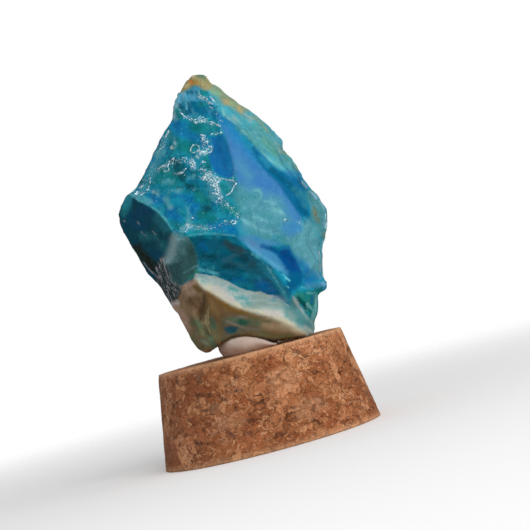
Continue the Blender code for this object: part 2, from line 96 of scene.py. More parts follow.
# The colour patches of the stone's show side, in painting order. A few of them are painted highlights, glints
# and shade, as marked. Each row has the softness and the raggedness of the edge in millimetres, two colours
# that mingle, and shapes. A shape gives its points as they look from EYE on the plane y = 0: x and the height
# over the cork, in turn. If one more number comes first, the shape is a stroke of that half width, and
# otherwise it is an area.
PATCHES = {
    "blues": (0.8, 1.3, (4, 104, 162), (14, 118, 168), (
        (0.9, -2, 46.2, -1.6, 44.2), (1.2, 0, 44.4, 0.6, 42.9), (0.5, -8.5, 41, -8.2, 40.2),
        (1.1, -10.3, 34.6, -9.2, 33), (1, -7.8, 30.6, -7, 28.6), (1.1, -3.5, 32.2, -3.1, 28.9),
        (0.6, -6.2, 33.1, -3.6, 32.5), (0.9, -0.8, 25.9, 0.9, 24.9, 2.6, 23.7),
        (0.6, 1.4, 41.6, 2.6, 40.8), (0.6, 5.7, 46.4, 6.2, 44.6))),
    "greens": (0.8, 1.3, (8, 114, 122), (18, 126, 126), (
        (1.3, -3.4, 43, -0.8, 41.5), (1.2, -7, 38.6, -5.8, 37.4), (0.8, 1.4, 38.8, 1.2, 37),
        (1.1, 1, 45.1, 4, 44.2), (0.7, -8.8, 37.5, -8.2, 36.9), (1.1, -1.9, 32.2, -0.6, 30.6),
        (0.7, 3.2, 32.7, 4.4, 31.4), (0.9, 2.4, 28.8, 4.2, 27), (0.6, -4.8, 45.2, -4, 44.2),
        (0.6, -8, 27.9, -7, 27.3), (0.9, -6.4, 36, -4.6, 35.8), (0.8, -2.6, 28.6, -0.4, 27.2))),
    "darks": (0.6, 1.2, (8, 76, 88), (10, 88, 98), (
        (1.1, -4.4, 39.1, -3.8, 36.7), (0.8, -3.6, 34.8, -1.8, 33.8), (0.6, -3.9, 35.8, -3.3, 33.6),
        (0.25, -5.3, 34.7, -4.7, 34.6), (0.45, -1.4, 29.7, -0.8, 29.3), (0.35, -6.6, 43.6, -5.9, 44.3),
        (0.5, -2.2, 36.6, -1.4, 36.4), (0.55, -11.7, 37.6, -11, 36.8), (0.4, -0.6, 48.9, 0.4, 48.1),
        (0.3, -0.9, 50, -0.7, 49.3), (0.45, 4.1, 51.4, 4.6, 50.6), (0.5, 2.2, 37.2, 1.6, 36.6))),
    "blue_high": (0.7, 0.8, (16, 130, 192), (24, 132, 184), (
        (0.6, -3, 46.6, -2.4, 44.8),)),
    "brow_deep": (0.7, 0.5, (0, 104, 144), (0, 98, 130), (
        (0.4, 49.8, 1.4, 50.4, 2.6, 50, 4, 49.4, 5.2, 48.4, 5.6, 46.6, 5, 45.8, 3.6, 46.9, 1.2, 47.2,
         0.2, 47.8),)),
    # A painted highlight along the upper-left rim.
    "left_rim_highlight": (0.9, 0.9, (76, 158, 176), (58, 150, 170), (
        (0.4, -12.2, 35.8, -10, 37.6, -8, 40.6, -6.8, 42.2, -5, 44.8),)),
    "veils": (0.5, 1.3, (68, 150, 166), (92, 160, 176), (
        (0.35, -7.6, 36.2, -6.2, 35.9), (0.35, -6.8, 34.3, -5.2, 34), (0.6, -8.2, 32.9, -7.7, 31.6),
        (0.35, -4.7, 30.2, -5, 27.6), (0.5, -6.4, 26.4, -4.9, 27.2), (0.5, -10.2, 35, -9.4, 34.7),
        (0.3, -3.7, 43.9, -3.7, 42.8), (0.3, -4, 26.6, -2.2, 25.7), (0.35, -7.8, 42.2, -6.6, 41.6),
        (0.5, -13.6, 35.2, -12.3, 34.4, -11.6, 33.4), (0.4, -1.8, 36, -2.8, 35.6), (0.5, 0.6, 33, 1, 30),
        (0.3, 1, 47.8, 1.6, 47.5))),
    "pale_spots": (0.25, 0.5, (190, 210, 206), (150, 186, 194), (
        (0.25, -0.3, 39.6, 0, 39.2), (0.25, -5.4, 27.1, -5, 26.9), (0.15, -3.7, 43.2, -3.6, 43.1),
        (0.2, -10.1, 34.9, -9.7, 34.7), (0.2, -4.6, 42.6, -4.5, 42.5), (0.2, 3.2, 50.7, 4.4, 50),
        (0.12, -2.5, 33.5, -2.4, 33.5), (0.12, -9.7, 36.9, -9.6, 36.8))),
    "brow_left": (0.6, 0.4, (130, 172, 184), (106, 164, 182), (
        (0.7, -2.5, 48.3, -1.7, 50.1, -0.8, 51.1, 0.1, 51.9),)),
    "brow_blue": (0.6, 0.6, (68, 158, 192), (52, 146, 180), (
        (0.7, 1, 51.2, 2.8, 52.2, 2.6, 50.8), (0.5, 5.6, 50.2, 6.2, 48.6), (0.4, -0.2, 51.6, -0.6, 50.6))),
    "brow_mid": (0.5, 0.4, (84, 154, 194), (72, 154, 190), (
        (0.4, 1.4, 50.9, 2.3, 50.7), (0.3, 2.4, 52.4, 2.9, 52.3))),
    "brow_green": (0.5, 0.5, (14, 134, 138), (18, 124, 130), (
        (0.5, 3.9, 51.4, 4.4, 50.6), (0.5, -1.6, 49.2, -1.4, 47.9), (0.4, 3, 49.2, 4.2, 49))),
    "brow_dark": (0.3, 0.3, (0, 84, 108), (0, 92, 116), (
        (0.3, 1.4, 52, 2.1, 51.9), (0.16, 2.95, 51.8, 2.85, 50.3), (0.25, -0.8, 50.2, -0.7, 49.5),
        (0.3, -0.5, 49, -0.2, 48.2), (0.2, 0.95, 49.8, 0.9, 48), (0.14, 3.3, 49.8, 3.4, 48))),
    "brow_bands": (0.22, 0.25, (112, 182, 200), (90, 166, 190), (
        (0.12, 0.75, 52.2, 0.5, 50.6, 0.25, 49), (0.1, 3.65, 52.7, 3.4, 51.6, 3.3, 50.8),
        (0.16, 5.2, 50.1, 5.9, 49))),
    "chip": (0.4, 0.4, (10, 98, 156), (18, 106, 162), (
        (3.5, 42.6, 5.8, 42.2, 6.2, 40, 6.3, 36.5, 6, 34.4, 4.6, 34, 3.2, 34.7, 2.3, 35.8, 2, 37.4,
         2.2, 39.4, 3.1, 40.6, 3, 41.6),)),
    "chip_light": (0.8, 0.5, (14, 122, 178), (22, 124, 176), (
        (0.4, 5.3, 41.2, 5.6, 38.6, 5.5, 35.6),)),
    # The pane's pale periwinkle is partly its own colour and partly a painted sheen.
    "pane": (0.45, 0.4, (52, 114, 170), (60, 122, 172), (
        (5.9, 44.4, 8, 42.8, 9.3, 39.6, 10.6, 36.8, 12.6, 33.2, 14.8, 29, 16, 26, 16.4, 22.6, 15, 19.4,
         12.6, 19.2, 12, 22.5, 11, 26, 9, 29, 6.8, 31, 6, 33.5, 6.3, 38),)),
    "pane_blue": (1, 0.4, (28, 118, 168), (36, 126, 176), (
        (0.7, 7.4, 44.2, 7.6, 42.4, 9.4, 39.2, 10.6, 36.6, 11.8, 34.6),)),
    "pane_veils": (0.9, 0.9, (72, 136, 168), (64, 132, 168), (
        (0.8, 7.4, 36.4, 8.6, 33), (0.6, 8.6, 30.6, 10.6, 28.8, 12.4, 27.4),
        (0.6, 12.6, 24.8, 13.6, 22.6))),
    "shallows": (1.6, 1, (76, 142, 160), (66, 134, 150), (
        (5, 32.8, 7.2, 31.4, 9.4, 29.4, 11.6, 28.2, 14, 27, 14.2, 23.8, 12.6, 20, 9.4, 20.4, 6.6, 21.8,
         5, 23, 5.2, 26, 5.6, 29),)),
    "shallow_veils": (0.45, 0.7, (110, 172, 182), (96, 164, 172), (
        (0.15, 7.4, 25.5, 8.2, 25.1, 9, 24.4, 9.8, 23.6), (0.2, 5.2, 25.4, 6.8, 24, 7.4, 23),
        (0.2, 10.6, 27.8, 12, 27), (0.3, 11.6, 25.8, 12.8, 24.8),
        (0.12, 8.6, 30.4, 9.6, 30.2, 10, 29.4, 9.7, 28.6), (0.3, 15.6, 22, 16.2, 21.2),
        (0.12, 8.2, 22.4, 9.4, 22, 10.2, 21.2), (0.15, 5.6, 28.6, 6.2, 27.4))),
    "shallow_greens": (0.8, 1, (52, 130, 138), (62, 136, 144), (
        (0.6, 6.8, 22.2, 7.6, 21.2, 9, 20.6), (0.4, 9.4, 25.4, 10.8, 24.8), (0.7, 11.6, 19.8, 12.6, 18.8),
        (0.5, 6.8, 29.6, 9.2, 29), (0.4, 9.6, 22.8, 11.6, 22.6), (0.4, 5.4, 29.8, 5.6, 28),
        (0.4, 7, 26.8, 7.6, 26))),
    "bevel": (0.35, 0.5, (76, 150, 160), (66, 142, 156), (
        (6.9, 47.4, 7.6, 45.2, 9, 42.8, 10.8, 39.4, 12.2, 36.4, 13.7, 34, 16, 31.8, 18.2, 30.4, 22, 30,
         22, 44, 10, 58, 5, 52, 6, 49),)),
    "bevel_aqua": (0.8, 0.8, (60, 160, 176), (70, 158, 172), (
        (1.1, 7.2, 47.6, 8.8, 46), (0.9, 9.2, 45, 10.4, 43.4), (0.6, 13.2, 35.8, 14.6, 34, 16, 33),
        (0.7, 11.4, 44.6, 12.2, 43.6))),
    "bevel_low": (0.7, 0.6, (36, 128, 168), (28, 116, 160), (
        (0.9, 16, 31.8, 17.6, 30.8), (0.6, 17.8, 30, 18.6, 28.2))),
    "bevel_greens": (0.6, 0.9, (72, 146, 140), (92, 160, 150), (
        (0.35, 10.4, 41.6, 11.6, 39), (0.9, 13.2, 39.4, 14.8, 36.6), (0.3, 14.6, 34.4, 15.6, 33.8),
        (0.3, 16.6, 34.8, 17.4, 33.4), (0.3, 9, 42.9, 9.5, 42), (0.4, 12.6, 42.6, 13.8, 40.8))),
    "bevel_grey": (0.5, 0.8, (134, 164, 160), (112, 152, 154), (
        (0.35, 10.4, 45.6, 12, 43.9), (0.15, 8.6, 44.9, 9.6, 43.2), (0.25, 15.2, 38.2, 15.8, 36.2))),
    "bevel_pale": (0.3, 0.5, (118, 180, 190), (104, 170, 180), (
        (0.15, 7.1, 45.8, 8, 44.6, 9, 43.4, 10.4, 40.8), (0.15, 12.2, 37.4, 13.4, 35.2, 15.2, 33.3),
        (0.15, 6.9, 47.2, 7, 46), (0.15, 11.6, 41.4, 12.4, 39.8), (0.15, 16.9, 33.9, 17, 33.5))),
    "groove": (0.5, 0.5, (4, 92, 132), (8, 98, 142), (
        (10.4, 38.4, 11, 38.8, 12.6, 35.8, 14, 33.4, 16.4, 31.2, 18.2, 29.4, 18.6, 28, 18.2, 26.6,
         18.4, 24.4, 17.8, 22.4, 16.4, 23.2, 15, 26.6, 14, 29.6, 12.4, 32.2, 11.2, 35),)),
    "groove_teal": (0.45, 0.5, (0, 84, 116), (2, 92, 124), (
        (0.5, 13.2, 33.2, 14.8, 30.9), (0.35, 15.6, 29.4, 16.7, 28), (0.45, 16.5, 25.5, 17.4, 23.4),
        (0.35, 14.8, 30.7, 16.2, 29.8))),
    "groove_light": (0.6, 0.5, (32, 128, 160), (28, 122, 156), (
        (0.4, 11.8, 36.2, 12.8, 34.4), (0.35, 9.2, 40.2, 10, 38.6))),
    "groove_green": (0.6, 0.7, (38, 122, 136), (34, 114, 138), (
        (0.6, 17.4, 27.6, 18.2, 26.2), (0.3, 17.6, 25.6, 18.1, 24.6), (0.12, 16.5, 28.6, 16.8, 28.6))),
    "rim": (0.6, 0.9, (70, 130, 134), (62, 128, 138), (
        (18.7, 27.4, 24, 28.6, 24, 17, 19.3, 17.6, 18.4, 20, 18.6, 23.5),)),
    "edge_pale": (0.3, 0.6, (112, 154, 178), (128, 168, 176), (
        (0.25, 18.4, 29.4, 18.9, 28.2), (0.25, 19.3, 27.4, 20.2, 25.9), (0.2, 20.8, 25, 21.1, 23.4),
        (0.15, 20.7, 21.6, 20.4, 19.8))),
    "edge_specks": (0.3, 0.9, (124, 146, 116), (104, 140, 120), (
        (0.1, 11.6, 45.2, 13.6, 42.6, 14.9, 40, 16.3, 36.8), (0.1, 17.9, 34, 17.9, 32.2),
        (0.1, 16.3, 36.2, 17.4, 34.6))),
    "rim_brown": (0.5, 0.6, (96, 118, 86), (112, 112, 84), (
        (0.35, 19.1, 24, 19.3, 21.4), (0.3, 20.2, 18.6, 19.8, 18.2))),
    "flank": (0.8, 0.9, (86, 152, 166), (76, 142, 152), (
        (12.9, 19.6, 15, 20.4, 17.2, 22.4, 18.4, 21.6, 18.9, 17.6, 18.2, 13, 17, 11, 15.6, 12.4,
         14.2, 15, 12.9, 17.2), (0.4, 17.6, 18.6, 18.4, 16))),
    "flank_blue": (0.9, 0.7, (50, 126, 172), (58, 130, 174), (
        (0.9, 13, 21.6, 15.2, 21.2), (0.5, 13.4, 15.2, 14.8, 13.8), (0.6, 14.6, 12.6, 16.2, 11))),
    "strip": (0.5, 0.6, (60, 128, 170), (54, 124, 162), (
        (4.2, 22.4, 6.6, 21.8, 9, 20.2, 11.6, 18.9, 10.4, 18.9, 8.2, 19.2, 9.8, 17.2, 12.2, 12.8,
         11.4, 12, 9.6, 13.8, 8.2, 15.4, 6.8, 17.2, 5.2, 19.2, 3.6, 22),)),
    "strip_light": (0.5, 0.5, (82, 152, 188), (72, 148, 178), (
        (0.3, 7.4, 17.2, 8.8, 15.4, 9.7, 14.3), (0.2, 4.6, 21, 6.2, 18.8, 7.2, 17.2))),
    "strip_lilac": (0.6, 0.5, (72, 128, 166), (76, 122, 160), (
        (0.35, 4.9, 21.6, 6.2, 20, 7.2, 18.8),)),
    "ridge_teal": (0.5, 0.6, (12, 134, 164), (8, 122, 150), (
        (8, 14.8, 9.8, 13.6, 11.6, 11.6, 12.6, 10.4, 11.2, 8.4, 10.4, 6.6, 9.6, 7.4, 9, 10.2, 8.4, 12),)),
    "blotch": (0.5, 0.4, (0, 68, 126), (0, 74, 134), (
        (0.4, 7.7, 19.3, 9.2, 18.7, 10.3, 17.4, 10.8, 16),
        (10.2, 17.5, 11.3, 18, 12.5, 18.1, 13, 16.6, 13.4, 15.2, 13.8, 13.8, 14, 12.4, 13.4, 11.6,
         12.3, 11.6, 11.4, 12.9, 10.6, 15.2))),
    "blotch_foot": (0.7, 0.4, (0, 84, 122), (0, 90, 130), (
        (11.2, 13.2, 12.6, 12.9, 13.7, 12.6, 14, 11.4, 13.3, 10.4, 12, 9.6, 10.4, 9, 9.8, 10.2,
         10.6, 11.6),)),
    "blotch_top": (0.5, 0.5, (0, 104, 148), (4, 112, 148), (
        (0.3, 11.4, 18.1, 12.4, 17.9),)),
    "low_blue": (0.7, 0.6, (12, 102, 150), (22, 110, 158), (
        (0.8, 14.2, 10.6, 15.2, 10.8), (0.5, 14, 14.2, 14.6, 12.6))),
    "low_teal": (0.6, 0.6, (0, 92, 120), (0, 104, 130), (
        (0.3, 9.4, 10, 9.8, 9),)),
    # Painted glints.
    "low_glints": (0.15, 0.4, (92, 178, 196), (72, 160, 180), (
        (0.15, 10.5, 12.4, 11.1, 11.7), (0.08, 8.4, 12, 8.8, 11), (0.07, 10.2, 10.7, 10.6, 10.3),
        (0.06, 9.8, 13.2, 10.3, 12.9), (0.06, 12.8, 9.8, 13.6, 9.4))),
    "spur": (0.6, 0.5, (64, 130, 162), (56, 122, 154), (
        (0.4, 14.2, 9.6, 16, 9.4), (0.45, 16.6, 9.2, 17.4, 9.2))),
    "spur_pale": (0.25, 0.5, (108, 156, 186), (96, 146, 172), (
        (0.25, 17.2, 9.5, 17.6, 9), (0.12, 16.6, 11.6, 16.9, 10.4))),
    "heel": (0.45, 0.9, (8, 104, 104), (18, 122, 122), (
        (11, 9.2, 12.6, 9, 14.4, 8.7, 16.6, 8.5, 15.4, 5.6, 14, 2.8, 13.4, 2, 12.5, 4.4, 11.6, 6.8),)),
    "heel_green": (0.5, 0.5, (36, 110, 102), (38, 122, 114), (
        (0.5, 11.6, 8.3, 12.6, 7.9), (0.3, 13, 7.2, 13.8, 7))),
    "heel_blue": (0.3, 0.4, (16, 112, 158), (40, 124, 164), (
        (0.2, 14, 6.4, 14.5, 6.9), (0.1, 14.2, 7.3, 14.6, 7.4))),
    "heel_dark": (0.4, 0.5, (0, 58, 58), (2, 68, 68), (
        (0.6, 11.7, 7.6, 12.7, 6.2), (0.12, 12.5, 5.3, 13.5, 4.9))),
    "heel_pale": (0.2, 0.4, (104, 160, 158), (80, 148, 150), (
        (0.35, 15.2, 7.4, 14.6, 5.4, 13.6, 3.4), (0.3, 13.2, 6.4, 13.8, 5.2),
        (0.06, 12.9, 5.9, 13.6, 5.5, 14.3, 5.7), (0.07, 12.4, 4.9, 13, 5.2), (0.1, 13.6, 8.4, 15.4, 8))),
    "edge_lines": (0.12, 0.15, (170, 172, 172), (132, 166, 178), (
        (0.1, 19.3, 17.4, 18.7, 15.4, 18, 13, 17.5, 10.8), (0.07, 18, 15.6, 17.6, 13.6, 17.2, 12))),
    "cheek": (0.14, 0.2, (14, 66, 86), (18, 76, 90), (
        (-14.9, 36.4, -14.2, 35.2, -12.9, 33.6, -11.4, 32.2, -10.3, 30.8, -9.4, 28.8, -8.7, 27, -8.6, 26,
         -8.2, 23, -8.4, 20.6, -8.6, 17.6, -9.2, 15.6, -11.4, 13.6, -13.4, 12.6, -22, 13, -22, 36.6),)),
    "cheek_top": (0.9, 0.8, (42, 148, 156), (34, 128, 154), (
        (0.7, -15.2, 35.2, -16.4, 33.4), (0.3, -17, 33, -16.6, 32.4))),
    "cheek_teal": (0.9, 0.8, (38, 106, 118), (30, 98, 112), (
        (0.9, -10.8, 30.4, -9.8, 27.6), (0.7, -11.3, 24.8, -10.4, 23.4), (0.6, -14.4, 27.4, -12, 26.4))),
    "cheek_dark": (0.8, 0.8, (34, 36, 28), (34, 50, 46), (
        (0.9, -15.9, 25.2, -14.9, 22.8, -13.9, 21),)),
    "cheek_navy": (0.8, 0.8, (12, 72, 102), (20, 68, 98), (
        (0.9, -15.6, 31.2, -12.6, 32.2, -11.6, 31.4), (0.6, -13, 23.6, -12.4, 22.8),
        (0.6, -15.6, 29.6, -13.6, 29))),
    "fibres": (0.4, 0.6, (68, 78, 82), (56, 72, 74), (
        (-12.2, 22.2, -11.4, 22.4, -10.9, 19.6, -10.2, 17.2, -9.2, 16, -10, 13.8, -11.4, 12.6,
         -13.6, 12.8, -14.4, 15.6, -14, 18.4, -13.2, 20.6),)),
    # Whitish wisps on the cheek, some of them painted glints.
    "cheek_streaks_and_glints": (0.12, 0.3, (150, 146, 150), (112, 122, 128), (
        (0.1, -15.4, 22.2, -14.5, 20.2, -13.7, 18.9, -13.3, 18.4),
        (0.14, -13.2, 20.6, -13, 19.4, -13.2, 18.4), (0.14, -13.6, 19, -13.2, 18),
        (0.12, -10.9, 15.6, -10.2, 14.8), (0.14, -11.5, 22, -11.6, 20.6, -11.5, 18.8, -11.3, 17.6),
        (0.12, -11, 17.2, -10.3, 16.5, -9.4, 15.9), (0.06, -12.3, 27.7, -11.9, 26.9),
        (0.05, -14.4, 28.1, -13.8, 27.2), (0.05, -14.7, 30.2, -14.4, 29.7),
        (0.08, -17.1, 31, -16.9, 30.9), (0.05, -11.6, 26.2, -11.5, 24.6))),
    "glass": (0.3, 0.3, (82, 128, 132), (68, 114, 118), (
        (-8.8, 26, -7.4, 25.4, -5.8, 25, -5.2, 22.6, -5.6, 20.4, -8.5, 20.2, -11.4, 20.8, -10.6, 22.8),)),
    "glass_light": (0.9, 0.3, (142, 166, 170), (120, 156, 160), (
        (0.6, -8.4, 25.5, -9.2, 23.6, -10.7, 21.3),)),
    "glass_top": (0.5, 0.4, (128, 184, 192), (106, 164, 176), (
        (0.3, -7.9, 25, -7, 24.8),)),
    "glass_green": (0.8, 0.5, (54, 92, 92), (48, 84, 86), (
        (-6.2, 23.8, -5.2, 24.2, -4.9, 20.4, -5.6, 18.4, -6.6, 17, -9.2, 15.8, -11.2, 17.4, -11.3, 20.4,
         -9.2, 20.7, -7.2, 21.6),)),
    "glass_spots": (0.35, 0.5, (42, 126, 106), (48, 116, 110), (
        (0.35, -7.7, 17.2, -6.8, 17.2), (0.25, -6, 18, -5.6, 17.6))),
    "glass_arcs": (0.2, 0.3, (104, 158, 162), (84, 140, 146), (
        (0.12, -8.4, 18.3, -7.4, 18.5, -6.2, 18.9, -5, 18.9), (0.1, -8.6, 25.7, -7, 25.2, -6, 24.9))),
    "recess": (0.25, 0.35, (0, 92, 116), (2, 102, 128), (
        (-5.9, 24.9, -3.4, 24.4, 0, 23.6, 2.8, 22.6, 4.2, 20.6, 6.3, 17.7, 8.3, 14.9, 8.6, 12, 9.2, 9.8,
         10, 7, 9.6, 6.4, 8, 8.8, 5.2, 10.3, 2, 12.1, -0.4, 14.2, -3.2, 16.3, -5.4, 17.4, -4.9, 20,
         -5.2, 23),)),
    "recess_blue": (0.6, 0.5, (0, 100, 156), (0, 108, 164), (
        (4.6, 13.8, 5.6, 13.8, 7.4, 12, 8.5, 10.2, 7.4, 9.4, 5.8, 10.4, 4.4, 11.8),
        (0.4, 0.6, 14.6, 2.4, 13.8), (0.5, -3.8, 22.8, -3, 21.6))),
    "recess_bright": (0.5, 0.5, (14, 140, 172), (8, 130, 164), (
        (0.4, 7, 14.4, 8.1, 12.4, 8.9, 10.4, 9.9, 7.6),)),
    "recess_teal": (0.6, 0.7, (4, 130, 154), (4, 118, 146), (
        (0.4, 0.8, 13.8, 3.4, 12.4), (0.35, 1.6, 22.6, 4.2, 20.2), (0.5, 3.2, 14.8, 5.2, 13.8),
        (0.35, -2.4, 23.7, 0.2, 23.3), (0.5, 6.2, 16.4, 7.8, 14.2), (0.5, -4.4, 19, -2.6, 18))),
    "recess_dark": (0.7, 0.7, (2, 74, 94), (2, 80, 98), (
        (0.7, 3, 18.8, 5, 16.6), (0.5, -3.4, 20.6, -2.4, 19.8), (0.4, -0.6, 17.8, 1.8, 16.6))),
    "recess_brown": (0.6, 0.6, (50, 78, 84), (42, 72, 82), (
        (0.5, 0.9, 21.7, 2.2, 20.3, 3.4, 19.8),)),
    # Painted highlights along the ridges at the recess's edges.
    "recess_ridge_highlight": (0.35, 0.7, (92, 186, 200), (64, 162, 178), (
        (0.25, -5.2, 18.2, -3.8, 17.4, -2.2, 16.5), (0.12, -2.8, 17.8, -2.4, 17.5),
        (0.12, 5.3, 13.4, 5.5, 13.2), (0.22, 7.6, 15.2, 8.4, 12.9, 8.8, 11, 9.8, 8),
        (0.12, 6.2, 17.8, 7.4, 15.6), (0.3, 5.4, 18.4, 6.4, 17.2))),
    # Painted highlights along the ridge under the broken front and along the cheek's right edge.
    "lower_rim_highlight": (0.2, 0.35, (62, 156, 170), (92, 174, 184), (
        (0.15, -8.6, 26.2, -7.2, 25.4, -5.8, 25.1, -3.4, 24.8, -1.4, 24.3, 0.8, 23.6, 2.8, 22.8),
        (0.2, -14.6, 35.7, -12.9, 33.9, -11.4, 32.5, -10.2, 31.1, -9.2, 29.1, -8.5, 27.2))),
    "foot": (0.3, 0.5, (122, 108, 80), (108, 98, 72), (
        (-9.2, 15.6, -6.6, 16.6, -4.4, 14.8, -2, 12.6, 1.2, 10, 4.4, 8, 8, 5.8, 10.4, 3.6, 12, 1, 12, -3,
         -13, -3, -13.6, 12.4, -11.2, 13.4),)),
    "band": (0.16, 0.4, (160, 177, 172), (142, 166, 163), (
        (-6.8, 16.9, -6.2, 17.4, -4.8, 17, -3, 16.2, -1.4, 15.2, -0.2, 14.2, 1.2, 12.8, 2.6, 11.9,
         5.2, 10.8, 7.2, 9.6, 8.6, 8.6, 9.6, 7.2, 10.2, 6.3, 10.7, 7.2, 11.1, 8.2, 11.6, 6.6, 12.3, 4.8,
         13.4, 2.8, 13.4, 0, 8, 0, 3, 5.6, -3, 10.6, -5.5, 13.4, -7, 15.8),)),
    "band_end": (0.9, 0.7, (66, 122, 126), (80, 130, 130), (
        (8.6, 8.4, 9.6, 7, 10.9, 8, 11.5, 6.6, 12.3, 4.8, 13.4, 2.8, 13.2, 0.2, 11.2, 1.8, 9.6, 3.4,
         8.8, 5.2),)),
    "band_violet": (0.5, 0.4, (112, 146, 172), (100, 140, 160), (
        (0.25, 7.4, 9.2, 8.6, 8.7, 9.3, 7.8),)),
    "band_tip": (0.5, 0.4, (160, 172, 168), (146, 168, 166), (
        (0.35, 11.6, 2.2, 12.4, 1.4), (0.12, 10.9, 8.3, 11.4, 6.8, 12, 5.2))),
    "band_cream": (0.7, 0.2, (202, 192, 158), (194, 188, 164), (
        (0.35, -6.2, 15.7, -5, 14.2, -3.4, 12.8, -1.8, 11.2, -0.2, 9.6, 1.6, 8.5, 4.2, 7, 7.2, 5, 9.4, 3),
        (0.3, -4.4, 14.6, -2.8, 13.2))),
    "band_pink": (0.7, 0.5, (188, 180, 174), (182, 176, 168), (
        (0.5, -3.4, 13.8, -2, 12.4, -0.8, 11), (0.5, 5, 7, 7.4, 5.8))),
    "band_grey": (0.8, 0.6, (128, 150, 140), (120, 144, 138), (
        (0.6, 2.2, 8.9, 4.2, 8.6, 7.8, 7.6), (0.4, 3.4, 10.2, 5.4, 9.6), (0.4, 9.4, 5.4, 9.9, 4.4))),
    "band_teal": (0.45, 0.5, (84, 154, 150), (76, 146, 150), (
        (0.35, -0.6, 13.1, 0.6, 12.2), (0.45, 1.2, 10.7, 2.1, 10.2),
        (0.1, 1, 9.6, 1.3, 9.1, 1.7, 9.2, 1.7, 9.7), (0.25, 0.2, 11.2, 0.8, 10.8),
        (0.1, -5.5, 15.9, -5.2, 15.6), (0.25, 2, 9.6, 2.4, 9.2), (0.08, 6.9, 8.8, 7.1, 8.6),
        (0.06, 8.8, 5.3, 8.9, 5.1))),
    "face": (0.7, 0.12, (122, 96, 60), (112, 90, 58), (
        (-6.5, 15.6, -5.4, 13.9, -4.2, 12.7, -3, 11.6, -1.2, 9.9, 0.2, 8.8, 3, 7.1, 5.6, 5.5, 8.4, 3.3,
         10.9, 1.1, 11.4, -2, -5, -2, -6.4, 3.2, -7, 7, -6.6, 10.4, -6.4, 13),)),
    "face_rust": (0.8, 0.5, (128, 92, 50), (124, 96, 56), (
        (0.3, -5.4, 13.2, -4.8, 12.4), (0.6, -4.2, 12, -2.4, 10.2), (0.4, -4.4, 9.8, -4, 8.2))),
    # Painted light: a lighter colour where the crease's shade falls on the face.
    "face_painted_light": (0.9, 0.4, (146, 118, 76), (136, 108, 68), (
        (0.6, -5, 12.9, -4.7, 11.2, -4, 9.4),)),
    "face_gold": (0.5, 0.3, (134, 100, 36), (122, 94, 42), (
        (0.4, -3.3, 11, -2.2, 9.9, -0.9, 8.8, 0.3, 8), (0.3, 1.2, 7.6, 2.8, 6.6),
        (0.1, -4.8, 12.8, -4, 12.2))),
    "face_grey": (0.9, 0.6, (90, 94, 74), (102, 102, 82), (
        (0.9, -3, 7.2, -0.6, 6.6, 1.6, 5.4), (0.7, -3.4, 4.6, 0.6, 4.6, 3, 4.2))),
    "face_stripe": (0.35, 0.35, (132, 126, 116), (120, 118, 106), (
        (0.15, -2.6, 7, -0.6, 5.6, 1, 4.5), (0.12, 1.4, 4.4, 3, 3.8), (0.1, -0.4, 7.3, 2, 6.6))),
    "face_tan": (1, 0.5, (168, 152, 122), (158, 140, 110), (
        (1, 4.4, 4.8, 7.4, 3.4), (0.5, 8, 2.8, 10.4, 1.6))),
    "face_pale": (0.7, 0.3, (190, 180, 152), (176, 170, 144), (
        (0.35, 7.4, 3.7, 8.6, 2.9, 9.8, 2, 11, 1.4),)),
    "face_olive": (0.5, 0.6, (104, 108, 72), (108, 106, 74), (
        (0.35, 2, 3.4, 5.4, 2.1, 9, 1.5), (0.3, 1.6, 6.6, 3.6, 5.6, 5.2, 4.8))),
    "face_blue": (0.35, 0.35, (12, 74, 92), (26, 88, 96), (
        (-3.8, 6, -2.4, 6.1, -1.6, 5.8, -0.8, 5.3, -1.5, 4.7, -2.6, 4.5, -3.2, 5.1),)),
    "face_green": (0.45, 0.4, (26, 90, 74), (42, 100, 82), (
        (-1.2, 6.6, -0.2, 6.8, 0.8, 6.4, 1.5, 5.6, 0.6, 5.2, -0.4, 5.7), (0.1, -4.6, 3.9, -4.2, 3.8))),
    "face_mint": (0.5, 0.4, (84, 114, 90), (94, 118, 94), (
        (0.3, 1.8, 5.7, 3.2, 5), (0.25, -1.8, 7.2, -1, 6.9))),
    "knee": (0.35, 0.3, (146, 122, 92), (138, 112, 82), (
        (-9.2, 15.7, -8.4, 16, -7, 16.6, -6.4, 16.4, -5.8, 14, -6, 12.4, -6.9, 10.4, -7.1, 7, -6.4, 2,
         -8, 0, -13, 0, -13.6, 12.4, -11.2, 13.4),)),
    "knee_dark": (0.8, 0.4, (90, 62, 34), (102, 74, 44), (
        (0.3, -7.8, 12.9, -7, 12.6, -6.9, 11.6, -7.5, 10.2, -7.7, 8.6), (0.5, -8.6, 12.8, -7.9, 11.4))),
    "knee_pink": (0.6, 0.5, (178, 148, 130), (164, 136, 116), (
        (0.5, -9.2, 15.2, -7.4, 15.9), (0.7, -11.8, 12.4, -10.9, 10.2, -10.4, 8),
        (0.3, -8.9, 14.4, -7.9, 14.2))),
    "knee_white": (0.5, 0.5, (186, 176, 172), (170, 160, 158), (
        (0.45, -12.6, 13.1, -11.2, 12.9),)),
    "knee_gold": (0.4, 0.4, (118, 96, 42), (110, 92, 48), (
        (0.3, -7.2, 15.3, -6.3, 14.2),)),
    "knee_olive": (0.9, 0.5, (114, 116, 84), (106, 108, 76), (
        (1.1, -8.7, 8.4, -7, 4.8), (0.7, -10, 5.6, -9.2, 3.6), (0.6, -5.5, 6.8, -5.4, 4.6),
        (0.5, -8.6, 3.6, -6, 2.9))),
    "knee_shade": (0.7, 0.5, (76, 74, 50), (70, 68, 46), (
        (0.4, -7.3, 7, -6.8, 5.2), (0.35, -6.3, 3.8, -5.6, 2.8))),
    "knee_green": (0.5, 0.5, (72, 108, 86), (84, 114, 90), (
        (0.35, -6.6, 4.9, -6.4, 3.2), (0.35, -8.3, 8.4, -8, 7.6), (0.3, -5.4, 8.2, -5.6, 6.6))),
